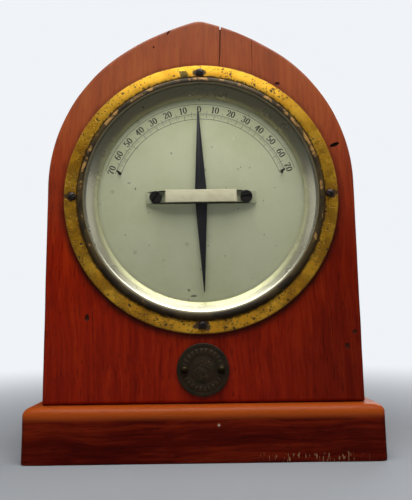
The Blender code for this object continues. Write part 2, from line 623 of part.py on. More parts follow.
def make_door(mats):
    """The door and its furniture hang from a parent that stands on the hinge's axis."""
    axis = empty("door_axis", (HINGE_AXIS[0], HINGE_AXIS[1], 0))
    at = (-HINGE_AXIS[0], -HINGE_AXIS[1], CASE_BOTTOM)
    door = add("back_door", plate(arch_outline(bottom=RAIL_HEIGHT + GAP), CASE_BACK, BACK_INNER),
               mats["case_wood"], at, FACING, axis)
    soften(door, 0.8 * MM)
    knob_at = (KNOB_X - HINGE_AXIS[0], -CASE_BACK - HINGE_AXIS[1], KNOB_Z)
    drill(door, "knob_hole", 1.8 * MM, -5.3 * MM, 2 * MM, knob_at, BACKWARD, axis)
    knob = [(0, -5 * MM), (1.5 * MM, -5 * MM), (1.5 * MM, GAP), (4.2 * MM, GAP), (4.2 * MM, 1.1 * MM),
            (2.3 * MM, 2.2 * MM), (2.1 * MM, 4.2 * MM)]
    knob += arc((0, 7.8 * MM), 4.4 * MM, math.radians(-58), math.pi / 2, 6)[:-1]
    knob.append((0, 12.2 * MM))
    add("door_knob", turned(knob, 16), mats["clean_brass"], knob_at, BACKWARD, axis)

    third = HINGE_LENGTH / 6
    for name, height in HINGE_CENTRES.items():
        middle = [(-third + GAP / 2, third - GAP / 2)]
        ends = [(-HINGE_LENGTH / 2, -third - GAP / 2), (third + GAP / 2, HINGE_LENGTH / 2)]
        on_case = (HINGE_AXIS[0], HINGE_AXIS[1], height)
        hinge_leaf("hinge_case_leaf_" + name, mats["clean_brass"], -1, ends, None, on_case)
        hinge_leaf("hinge_door_leaf_" + name, mats["clean_brass"], 1, middle, axis, (0, 0, height))
        half = HINGE_LENGTH / 2 + GAP
        pin = [(0, -half - 1 * MM), (1.5 * MM, -half - 1 * MM), (1.5 * MM, -half), (HINGE_PIN, -half),
               (HINGE_PIN, half), (1.5 * MM, half), (1.5 * MM, half + 0.6 * MM), (0.8 * MM, half + 1.2 * MM),
               (0, half + 1.2 * MM)]
        add("hinge_pin_" + name, turned(pin, SMALL), mats["clean_brass"], on_case)


def make_button(mats):
    face = -CASE_BACK + GAP
    thick = 1.8 * MM
    button = add("turn_button", plate(stadium(12.0 * MM, 3.8 * MM), GAP, GAP + thick), mats["clean_brass"],
                 (BUTTON_X, -CASE_BACK, BUTTON_Z), BACKWARD)
    soften(button, 0.5 * MM)
    drill(button, "button_hole", 1.3 * MM, -1 * MM, 5 * MM, (BUTTON_X, -CASE_BACK, BUTTON_Z), BACKWARD)
    slotted_screw("turn_button_screw", mats["clean_brass"], (BUTTON_X, face + thick + GAP, BUTTON_Z),
                  (BACKWARD[0], math.radians(24), 0), (2.7 * MM, 1.4 * MM), (1.0 * MM, 7.0 * MM))


def make_terminals(mats):
    for side, x in (("left", -TERMINAL_X), ("right", TERMINAL_X)):
        place = (x, SHELF_Y, 0)
        base = PLINTH_HEIGHT + GAP
        post = [(0, 3.0 * MM), (STUD_RADIUS, 3.0 * MM), (STUD_RADIUS, base), (COLLAR_RADIUS, base),
                (COLLAR_RADIUS, COLLAR_TOP - 0.4 * MM), (COLLAR_RADIUS - 0.4 * MM, COLLAR_TOP),
                (STUD_RADIUS, COLLAR_TOP), (STUD_RADIUS, STUD_TOP - 0.6 * MM), (STUD_RADIUS * 0.6, STUD_TOP),
                (0, STUD_TOP)]
        add("terminal_post_" + side, turned(post, MEDIUM), mats["clean_brass"], place)
        washer_base = COLLAR_TOP + GAP
        washer = tube(STUD_BORE, 5.4 * MM, 0, WASHER_THICK, MEDIUM)
        add("terminal_washer_" + side, washer, mats["clean_brass"], (x, SHELF_Y, washer_base))
        foot = NUT_HEIGHT * 0.28
        nut = [(STUD_BORE, 0), (4.6 * MM, 0), (4.6 * MM, foot), (NUT_RADIUS - 0.4 * MM, foot + 0.3 * MM),
               (NUT_RADIUS, foot + 0.7 * MM), (NUT_RADIUS, NUT_HEIGHT - 1.0 * MM),
               (NUT_RADIUS - 0.9 * MM, NUT_HEIGHT), (STUD_BORE, NUT_HEIGHT)]
        add("terminal_nut_" + side, turned(nut, MEDIUM), mats["clean_brass"],
            (x, SHELF_Y, washer_base + WASHER_THICK + GAP))
        under = arc((0, 0), UNDER_NUT_RADIUS, 0, 5 * math.pi / 3, 5)
        hexagon = add("terminal_under_nut_" + side, plate(under, 4.0 * MM, UNDER_DEPTH - GAP),
                      mats["clean_brass"], place)
        drill(hexagon, "under_nut_hole_" + side, STUD_BORE, 0, 20 * MM, place)


def smooth_route(points, per_span):
    """Points along a Catmull-Rom curve through the given points."""
    points = [Vector(p) for p in points]
    padded = [2 * points[0] - points[1], *points, 2 * points[-1] - points[-2]]
    route = []
    for a, b, c, d in zip(padded, padded[1:], padded[2:], padded[3:]):
        for i in range(per_span):
            t = i / per_span
            route.append(0.5 * (2 * b + (c - a) * t + (2 * a - 5 * b + 4 * c - d) * t ** 2
                                + (3 * b - a - 3 * c + d) * t ** 3))
    route.append(points[-1])
    return route


def make_leads(mats):
    """Covered wires from the coils' lower sides, down the case and under the plinth to the posts."""
    coil_foot = DIAL_HEIGHT - CORE_HALF[1] - CORE_WALL - WINDING_DEPTH - 2 * LEAD_RADIUS
    depth = 3.6 * MM
    for side, sign in (("left", -1), ("right", 1)):
        x = TERMINAL_X * sign
        route = [(9.5 * MM * sign, -COIL_W, coil_foot), (10.5 * MM * sign, -19 * MM, coil_foot - 4 * MM),
                 (15 * MM * sign, -23.6 * MM, coil_foot - 9.5 * MM), (25 * MM * sign, LEAD_HOLE_Y, 58 * MM),
                 (x, LEAD_HOLE_Y, 40 * MM), (x, LEAD_HOLE_Y, 22 * MM),
                 (x, LEAD_HOLE_Y, 8 * MM), (x, LEAD_HOLE_Y + 5 * MM, depth), (x, 0, depth),
                 (x, SHELF_Y - 14 * MM, depth), (x, SHELF_Y - 6.5 * MM, depth)]
        curve = bpy.data.curves.new("lead_" + side, "CURVE")
        curve.dimensions = "3D"
        spline = curve.splines.new("POLY")
        points = smooth_route(route, 4)
        spline.points.add(len(points) - 1)
        for point, at in zip(spline.points, points):
            point.co = (*at, 1.0)
        curve.bevel_depth = LEAD_RADIUS
        curve.bevel_resolution = 1
        curve.use_fill_caps = True
        curve.materials.append(mats["silk"])
        lead = bpy.data.objects.new("lead_" + side, curve)
        bpy.context.scene.collection.objects.link(lead)


def make_foot_screws(mats):
    for side, x in foot_screw_places():
        slotted_screw("foot_screw_" + side, mats["steel"], (x, 0, 5.4 * MM), (math.pi, 0, 0),
                      (3.2 * MM, 1.6 * MM), (1.5 * MM, 26.0 * MM))


def main():
    clear_scene()
    mats = make_materials()
    make_plinth(mats)
    make_case(mats)
    make_bezel(mats)
    make_dial(mats)
    make_bridge(mats)
    make_needle(mats)
    make_movement(mats)
    make_disc(mats)
    make_door(mats)
    make_button(mats)
    make_terminals(mats)
    make_leads(mats)
    make_foot_screws(mats)


main()
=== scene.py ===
"""The looks of a vertical telegraph galvanometer: polished mahogany, old brass and a silvered dial.

Most pieces are drawn in face coordinates: u to the right, v up, and w forward from the plinth's middle.
"""
import json
import math
import random

import bmesh
import bpy
from mathutils import Matrix, Vector, noise


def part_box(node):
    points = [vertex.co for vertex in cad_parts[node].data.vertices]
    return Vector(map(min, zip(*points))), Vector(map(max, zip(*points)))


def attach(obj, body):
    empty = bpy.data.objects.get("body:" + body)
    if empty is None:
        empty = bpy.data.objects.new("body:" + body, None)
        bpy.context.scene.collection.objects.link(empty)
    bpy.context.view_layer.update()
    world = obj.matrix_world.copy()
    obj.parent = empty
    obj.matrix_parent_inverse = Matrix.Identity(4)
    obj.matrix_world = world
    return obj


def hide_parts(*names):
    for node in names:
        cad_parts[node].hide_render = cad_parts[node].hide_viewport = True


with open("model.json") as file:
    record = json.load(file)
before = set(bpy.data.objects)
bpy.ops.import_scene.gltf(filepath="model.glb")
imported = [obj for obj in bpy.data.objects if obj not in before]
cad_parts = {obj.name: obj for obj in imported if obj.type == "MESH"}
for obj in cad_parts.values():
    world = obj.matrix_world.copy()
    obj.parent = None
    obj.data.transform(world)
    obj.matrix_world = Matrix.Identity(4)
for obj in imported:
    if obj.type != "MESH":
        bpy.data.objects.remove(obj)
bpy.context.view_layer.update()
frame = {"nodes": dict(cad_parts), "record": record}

MM = 0.001
RECORD = frame["record"]
BODY = {n: body for body, nodes in RECORD["behaviour"]["bodies"].items() for n in nodes}
SLOT = {part["node"]: part["material_slot"] for part in RECORD["subparts"]}


# ---------------------------------------------------------------- places

class Spot:
    """A CAD node's box in face coordinates."""

    def __init__(self, node):
        low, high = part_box(node)
        self.low, self.high = low, high
        self.u = (low.x + high.x) / 2
        self.v = (low.z + high.z) / 2
        self.y = (low.y + high.y) / 2
        self.half = (high.x - low.x) / 2
        self.tall = (high.z - low.z) / 2
        self.back, self.front = -high.y, -low.y


def facing(u=0.0, v=0.0, spin=0.0, w=0.0):
    """Puts a piece drawn in face coordinates at (u, v), turned clockwise by spin degrees."""
    turn = Matrix.Rotation(math.radians(90), 4, "X") @ Matrix.Rotation(math.radians(-spin), 4, "Z")
    return Matrix.Translation((u, -w, v)) @ turn


def backward(x, y, z, spin=0.0):
    """Puts a piece drawn with its front along local Z on the back, facing +Y."""
    turn = Matrix.Rotation(math.radians(-90), 4, "X") @ Matrix.Rotation(math.radians(spin), 4, "Z")
    return Matrix.Translation((x, y, z)) @ turn


def sideways(x, y, z, spin=0.0):
    """Puts a piece drawn with its front along local Z on the right side, facing +X."""
    turn = Matrix.Rotation(math.radians(90), 4, "Y") @ Matrix.Rotation(math.radians(spin), 4, "Z")
    return Matrix.Translation((x, y, z)) @ turn


# ---------------------------------------------------------------- meshes

def make(name, bm, finishes, at=None, angle=35.0):
    bmesh.ops.recalc_face_normals(bm, faces=bm.faces)
    mesh = bpy.data.meshes.new(name)
    bm.to_mesh(mesh)
    bm.free()
    for finish in finishes if isinstance(finishes, (list, tuple)) else [finishes]:
        mesh.materials.append(finish)
    mesh.shade_smooth()
    mesh.set_sharp_from_angle(angle=math.radians(angle))
    obj = bpy.data.objects.new(name, mesh)
    bpy.context.scene.collection.objects.link(obj)
    obj.matrix_world = at or Matrix.Identity(4)
    return obj


def settle(obj, *cutters, angle=35.0):
    """Applies the modifiers and takes the cutters away."""
    bpy.context.view_layer.update()
    graph = bpy.context.evaluated_depsgraph_get()
    mesh = bpy.data.meshes.new_from_object(obj.evaluated_get(graph))
    obj.modifiers.clear()
    obj.data = mesh
    mesh.shade_smooth()
    mesh.set_sharp_from_angle(angle=math.radians(angle))
    for cutter in cutters:
        bpy.data.objects.remove(cutter)
    return obj


def cut(obj, *cutters, angle=35.0):
    """Cuts the object exactly, and gives the cut faces the cutter's own finish."""
    for cutter in cutters:
        modifier = obj.modifiers.new("cut", "BOOLEAN")
        modifier.solver = "EXACT"
        modifier.material_mode = "TRANSFER"
        modifier.object = cutter
    return settle(obj, *cutters, angle=angle)


def show(obj, *nodes, body=None, slot=None):
    """The piece stands for these CAD nodes, and rides as the first one does."""
    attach(obj, body or BODY[nodes[0]])
    slot or SLOT[nodes[0]]
    if nodes and not body:
        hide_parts(*nodes)
    return obj


def arc(centre, radius, start, end, count):
    """Points along an arc, with both its ends, angles in degrees."""
    steps = [math.radians(start + (end - start) * i / count) for i in range(count + 1)]
    return [(centre[0] + radius * math.cos(a), centre[1] + radius * math.sin(a)) for a in steps]


def rounded(points, radius, count=4):
    """A closed outline with its corners rounded. radius is one number, or one for each corner."""
    radii = radius if isinstance(radius, (list, tuple)) else [radius] * len(points)
    made = []
    for i, here in enumerate(points):
        here = Vector(here)
        before = Vector(points[i - 1]) - here
        after = Vector(points[(i + 1) % len(points)]) - here
        if radii[i] <= 0 or before.length < 1e-9 or after.length < 1e-9:
            made.append(tuple(here))
            continue
        before_way, after_way = before.normalized(), after.normalized()
        half = before_way.angle(after_way) / 2
        reach = min(radii[i] / math.tan(half), before.length * 0.49, after.length * 0.49)
        true = reach * math.tan(half)
        centre = here + (before_way + after_way).normalized() * (true / math.sin(half))
        first, last = here + before_way * reach - centre, here + after_way * reach - centre
        sweep = first.angle_signed(last)
        for k in range(count + 1):
            turn = Matrix.Rotation(-sweep * k / count, 2)
            made.append(tuple(centre + turn @ first))
    return made


def turned(profile, steps=96):
    """Revolves a closed outline of (radius, height) about Z."""
    bm = bmesh.new()
    angles = [math.tau * i / steps for i in range(steps)]
    rings = []
    for radius, height in profile:
        around = angles if radius > 1e-7 else [0.0]
        rings.append([bm.verts.new((radius * math.cos(a), radius * math.sin(a), height)) for a in around])
    for ring, following in zip(rings, rings[1:] + rings[:1]):
        if len(ring) == len(following) == 1:
            continue
        for i in range(steps):
            j = (i + 1) % steps
            corners = [ring[i % len(ring)], ring[j % len(ring)]]
            corners += [following[j % len(following)], following[i % len(following)]]
            bm.faces.new(dict.fromkeys(corners))
    return bm


def stack(loops, closed=True):
    """Joins a pile of level outlines, each (outline, height), and closes it unless it is a ring."""
    bm = bmesh.new()
    rings = [[bm.verts.new((x, y, z)) for x, y in outline] for outline, z in loops]
    pairs = zip(rings, rings[1:]) if closed else zip(rings, rings[1:] + rings[:1])
    for below, above in pairs:
        for i in range(len(below)):
            j = (i + 1) % len(below)
            bm.faces.new((below[i], below[j], above[j], above[i]))
    if closed:
        bm.faces.new(rings[0])
        bm.faces.new(rings[-1])
    return bm


def box(low, high):
    bm = bmesh.new()
    bmesh.ops.create_cube(bm, size=1.0)
    low, high = Vector(low), Vector(high)
    bmesh.ops.scale(bm, vec=high - low, verts=bm.verts)
    bmesh.ops.translate(bm, vec=(low + high) / 2, verts=bm.verts)
    return bm


def rod(radius, low, high, steps=32):
    return turned([(0, low), (radius, low), (radius, high), (0, high)], steps)


def softened(outline_at, low, high, front, back=0.0, count=4):
    """A flat piece from w = low to high, with its edges rounded. outline_at(inset) gives its outline."""
    rim = 0.15 * MM
    loops = [(outline_at(back + rim), low)] if back > 0 else []
    loops += [(outline_at(back * (1 - math.sin(t))), low + back * (1 - math.cos(t))) for t in quarter(count)]
    if back <= 0:
        loops = [(outline_at(0.0), low)]
    loops += [(outline_at(front * (1 - math.cos(t))), high - front * (1 - math.sin(t))) for t in quarter(count)]
    loops.append((outline_at(front + rim), high))
    return stack(loops)


def quarter(count):
    return [math.pi / 2 * i / count for i in range(count + 1)]


def rounded_rectangle(half_x, half_y, radius, count=6):
    points = []
    for sx, sy, start in ((1, 1, 0), (-1, 1, 90), (-1, -1, 180), (1, -1, 270)):
        points += arc((sx * (half_x - radius), sy * (half_y - radius)), radius, start, start + 90, count)
    return points


def stadium(half_length, half_width, count=16):
    centre = half_length - half_width
    return (arc((centre, 0), half_width, -90, 90, count) + arc((-centre, 0), half_width, 90, 270, count))


def finely(outline, step):
    """The same closed outline with its long sides divided."""
    made = []
    for here, there in zip(outline, outline[1:] + outline[:1]):
        count = max(1, round(math.dist(here, there) / step))
        made += [(here[0] + (there[0] - here[0]) * i / count, here[1] + (there[1] - here[1]) * i / count)
                 for i in range(count)]
    return made


def ribbon(bm, points, widths, low, high, closed=False):
    """Adds a thin raised line along the points, as wide at each as widths says."""
    rows = []
    for i, (x, y) in enumerate(points):
        before = points[i - 1] if i or closed else points[i]
        after = points[(i + 1) % len(points)] if i + 1 < len(points) or closed else points[i]
        along = Vector((after[0] - before[0], after[1] - before[1])).normalized()
        side = Vector((-along.y, along.x)) * (widths[i] / 2)
        corners = [(x - side.x, y - side.y, low), (x + side.x, y + side.y, low),
                   (x + side.x, y + side.y, high), (x - side.x, y - side.y, high)]
        rows.append([bm.verts.new(c) for c in corners])
    pairs = list(zip(rows, rows[1:] + rows[:1])) if closed else list(zip(rows, rows[1:]))
    for a, b in pairs:
        for k in range(4):
            bm.faces.new((a[k], a[(k + 1) % 4], b[(k + 1) % 4], b[k]))
    if not closed:
        bm.faces.new(rows[0])
        bm.faces.new(rows[-1])


def tube_along(points, radius, sides=12):
    """A round tube through the points, with flat ends."""
    bm = bmesh.new()
    points = [Vector(p) for p in points]
    side = Vector((1, 0, 0))
    rings = []
    for i, here in enumerate(points):
        along = (points[min(i + 1, len(points) - 1)] - points[max(i - 1, 0)]).normalized()
        side = (side - along * side.dot(along)).normalized()
        other = along.cross(side)
        rings.append([bm.verts.new(here + (side * math.cos(a) + other * math.sin(a)) * radius)
                      for a in [math.tau * k / sides for k in range(sides)]])
    for a, b in zip(rings, rings[1:]):
        for k in range(sides):
            bm.faces.new((a[k], a[(k + 1) % sides], b[(k + 1) % sides], b[k]))
    bm.faces.new(rings[0])
    bm.faces.new(rings[-1])
    return bm


def wear(bm, amount, scale, seed, where=None):
    """Moves the points a little along smooth noise, as handling does to an edge."""
    for v in bm.verts:
        if where and not where(v.co):
            continue
        shift = noise.noise_vector(v.co * scale + Vector((seed, seed * 2.3, seed * 0.7)))
        v.co += shift * amount


# ---------------------------------------------------------------- materials

class Shade:
    """Builds one material's nodes."""

    def __init__(self, name, **constants):
        self.material = bpy.data.materials.new(name)
        self.material.use_nodes = True
        self.tree = self.material.node_tree
        self.shader = self.tree.nodes["Principled BSDF"]
        for socket, value in constants.items():
            self.shader.inputs[socket.replace("_", " ")].default_value = value
        self.coordinates = self.tree.nodes.new("ShaderNodeTexCoord")
        self.place = self.coordinates.outputs["Object"]

    def link(self, value, socket):
        if isinstance(value, bpy.types.NodeSocket):
            self.tree.links.new(value, socket)
        elif isinstance(value, tuple) and len(value) == 3 and socket.type == "RGBA":
            socket.default_value = (*value, 1.0)
        else:
            socket.default_value = value

    def set(self, socket, value):
        self.link(value, self.shader.inputs[socket])

    def mapped(self, scale, shift=(0, 0, 0), place=None, turn=(0, 0, 0)):
        node = self.tree.nodes.new("ShaderNodeMapping")
        self.link(place or self.place, node.inputs["Vector"])
        node.inputs["Scale"].default_value = scale
        node.inputs["Location"].default_value = shift
        node.inputs["Rotation"].default_value = turn
        return node.outputs["Vector"]

    def noise(self, place, scale=1.0, detail=3.0, roughness=0.5, distortion=0.0, colour=False):
        node = self.tree.nodes.new("ShaderNodeTexNoise")
        self.link(place, node.inputs["Vector"])
        node.inputs["Scale"].default_value = scale
        node.inputs["Detail"].default_value = detail
        node.inputs["Roughness"].default_value = roughness
        node.inputs["Distortion"].default_value = distortion
        return node.outputs["Color" if colour else "Fac"]

    def cells(self, place, scale, feature="F1", randomness=1.0, flat=False):
        node = self.tree.nodes.new("ShaderNodeTexVoronoi")
        node.feature = feature
        node.voronoi_dimensions = "2D" if flat else "3D"
        self.link(place, node.inputs["Vector"])
        node.inputs["Scale"].default_value = scale
        node.inputs["Randomness"].default_value = randomness
        return node.outputs["Distance"], node.outputs["Color"]

    def math(self, operation, a, b=0.0, c=0.0, clamp=False):
        node = self.tree.nodes.new("ShaderNodeMath")
        node.operation = operation
        node.use_clamp = clamp
        for value, socket in zip((a, b, c), node.inputs):
            self.link(value, socket)
        return node.outputs[0]

    def vector(self, operation, a, b=(0, 0, 0)):
        node = self.tree.nodes.new("ShaderNodeVectorMath")
        node.operation = operation
        self.link(a, node.inputs[0])
        self.link(b, node.inputs[1])
        return node.outputs["Value" if operation in ("LENGTH", "DISTANCE") else "Vector"]

    def parts(self, place=None):
        node = self.tree.nodes.new("ShaderNodeSeparateXYZ")
        self.link(place or self.place, node.inputs[0])
        return node.outputs

    def step(self, value, low, high, to_low=0.0, to_high=1.0):
        """0 below low and 1 above high, smoothly, or the two given values."""
        node = self.tree.nodes.new("ShaderNodeMapRange")
        node.interpolation_type = "SMOOTHSTEP"
        self.link(value, node.inputs["Value"])
        for socket, number in zip(("From Min", "From Max", "To Min", "To Max"), (low, high, to_low, to_high)):
            node.inputs[socket].default_value = number
        return node.outputs["Result"]

    def ramp(self, value, stops):
        node = self.tree.nodes.new("ShaderNodeValToRGB")
        self.link(value, node.inputs[0])
        points = node.color_ramp.elements
        while len(points) < len(stops):
            points.new(0.5)
        for point, (position, colour) in zip(points, stops):
            point.position = position
            point.color = (*colour, 1.0)
        return node.outputs["Color"]

    def mix(self, share, a, b, blend="MIX"):
        node = self.tree.nodes.new("ShaderNodeMix")
        node.data_type = "RGBA"
        node.blend_type = blend
        self.link(share, node.inputs[0])
        self.link(a, node.inputs[6])
        self.link(b, node.inputs[7])
        return node.outputs[2]

    def number(self, share, a, b):
        """Goes from a to b with share."""
        return self.math("ADD", self.math("MULTIPLY", share, b - a), a)

    def bump(self, height, distance, strength=1.0, after=None):
        node = self.tree.nodes.new("ShaderNodeBump")
        node.inputs["Strength"].default_value = strength
        node.inputs["Distance"].default_value = distance
        self.link(height, node.inputs["Height"])
        if after:
            self.link(after, node.inputs["Normal"])
        return node.outputs["Normal"]

    def spot(self, centre, radii, ragged=0.35, scale=900.0):
        """1 inside an ellipse in the local XY plane, with a ragged edge."""
        x, y, _ = self.parts()
        dx = self.math("DIVIDE", self.math("SUBTRACT", x, centre[0]), radii[0])
        dy = self.math("DIVIDE", self.math("SUBTRACT", y, centre[1]), radii[1])
        away = self.math("SQRT", self.math("ADD", self.math("MULTIPLY", dx, dx), self.math("MULTIPLY", dy, dy)))
        rough = self.math("MULTIPLY", self.math("SUBTRACT", self.noise(self.place, scale, 2), 0.5), ragged * 2)
        return self.step(self.math("ADD", away, rough), 0.75, 1.1, 1.0, 0.0)

    def radius(self):
        x, y, _ = self.parts()
        return self.math("SQRT", self.math("ADD", self.math("MULTIPLY", x, x), self.math("MULTIPLY", y, y)))

    def highest(self, *masks):
        found = masks[0]
        for mask in masks[1:]:
            found = self.math("MAXIMUM", found, mask)
        return found


WOOD_DARK, WOOD_MID, WOOD_LIGHT = (0.150, 0.0080, 0.0012), (0.300, 0.0230, 0.0028), (0.440, 0.0560, 0.0070)


def wood(name, grain, seed, dark=WOOD_DARK, mid=WOOD_MID, light=WOOD_LIGHT, uv=False, coat=0.27, figure=1.0,
         rough=(0.34, 0.52), extra=None):
    """Mahogany with its grain along one local axis: streaks, a slow figure, pores and small knocks."""
    s = Shade(name, Coat_Weight=coat, Coat_Roughness=0.21, Specular_IOR_Level=0.05)
    if uv:
        s.place = s.coordinates.outputs["UV"]
    place = s.mapped((1, 1, 1), (seed * 0.131, seed * 0.217, seed * 0.173))
    drift = s.noise(place, 16.0, 2, 0.5, colour=True)
    sway = s.vector("MULTIPLY", s.vector("SUBTRACT", drift, (0.5, 0.5, 0.5)), (0.010, 0.010, 0.010))
    bent = s.vector("ADD", place, sway)

    def along(across, length):
        scale = [across] * 3
        scale[grain] = length
        return s.mapped(tuple(scale), place=bent)

    streak = s.noise(along(800.0, 38.0), 1.0, 5, 0.62)
    band = s.noise(along(170.0, 8.0), 1.0, 3, 0.55)
    cloud = s.noise(place, 26.0, 3, 0.5)
    tone = s.math("ADD", s.math("MULTIPLY", streak, 0.52), s.math("MULTIPLY", band, 0.48 * figure))
    tone = s.math("ADD", tone, s.math("MULTIPLY", s.math("SUBTRACT", cloud, 0.5), 0.30))
    colour = s.ramp(tone, ((0.30, dark), (0.50, mid), (0.72, light)))
    pore = s.step(s.noise(along(2300.0, 120.0), 1.0, 2, 0.5), 0.60, 0.70)
    colour = s.mix(s.math("MULTIPLY", pore, 0.55), colour, tuple(c * 0.35 for c in dark))
    distance, which = s.cells(place, 75.0)
    chosen = s.step(s.parts(which)[0], 0.80, 0.84)
    knock = s.math("MULTIPLY", s.step(distance, 0.035, 0.075, 1.0, 0.0), chosen)
    colour = s.mix(s.math("MULTIPLY", knock, 0.85), colour, (0.012, 0.006, 0.004))
    height = s.math("SUBTRACT", s.math("MULTIPLY", streak, 0.25), s.math("MULTIPLY", pore, 0.5))
    height = s.math("SUBTRACT", height, s.math("MULTIPLY", knock, 2.0))
    ripple = s.noise(place, 240.0, 3, 0.5)
    height = s.math("ADD", height, s.math("MULTIPLY", ripple, 0.7))
    if extra:
        colour = extra(s, colour)
    s.set("Base Color", colour)
    s.set("Roughness", s.number(s.noise(place, 70.0, 4, 0.6), rough[0], rough[1]))
    s.set("Normal", s.bump(height, 0.00009))
    return s.material


def brass(name, base=(0.62, 0.43, 0.13), dull=(0.30, 0.19, 0.05), rough=(0.24, 0.46), seed=1.0, spotting=0.5):
    """Brass that has gone dull in places, with fine turning marks and spots."""
    s = Shade(name, Metallic=1.0)
    place = s.mapped((1, 1, 1), (seed, seed * 0.7, seed * 1.3))
    cloud = s.noise(place, 170.0, 4, 0.6)
    fine = s.noise(place, 1500.0, 3, 0.6)
    colour = s.mix(s.step(cloud, 0.38, 0.66), base, dull)
    distance, which = s.cells(place, 420.0)
    spots = s.math("MULTIPLY", s.step(distance, 0.10, 0.22, 1.0, 0.0), s.step(s.parts(which)[0], 0.7, 0.8))
    colour = s.mix(s.math("MULTIPLY", spots, spotting), colour, (0.05, 0.03, 0.012))
    s.set("Base Color", colour)
    s.set("Roughness", s.number(cloud, rough[0], rough[1]))
    s.set("Normal", s.bump(s.math("ADD", fine, s.math("MULTIPLY", spots, -0.8)), 0.00002))
    return s.material


def steel(name, base, rough=(0.3, 0.5), metallic=1.0, rust=0.0, seed=3.0):
    s = Shade(name, Metallic=metallic)
    place = s.mapped((1, 1, 1), (seed, seed, seed))
    cloud = s.noise(place, 420.0, 4, 0.6)
    s.set("Base Color", s.mix(s.math("MULTIPLY", s.step(cloud, 0.42, 0.70), rust), base, (0.070, 0.030, 0.014)))
    s.set("Roughness", s.number(cloud, rough[0], rough[1]))
    s.set("Normal", s.bump(s.noise(place, 2200.0, 3, 0.6), 0.00002))
    return s.material


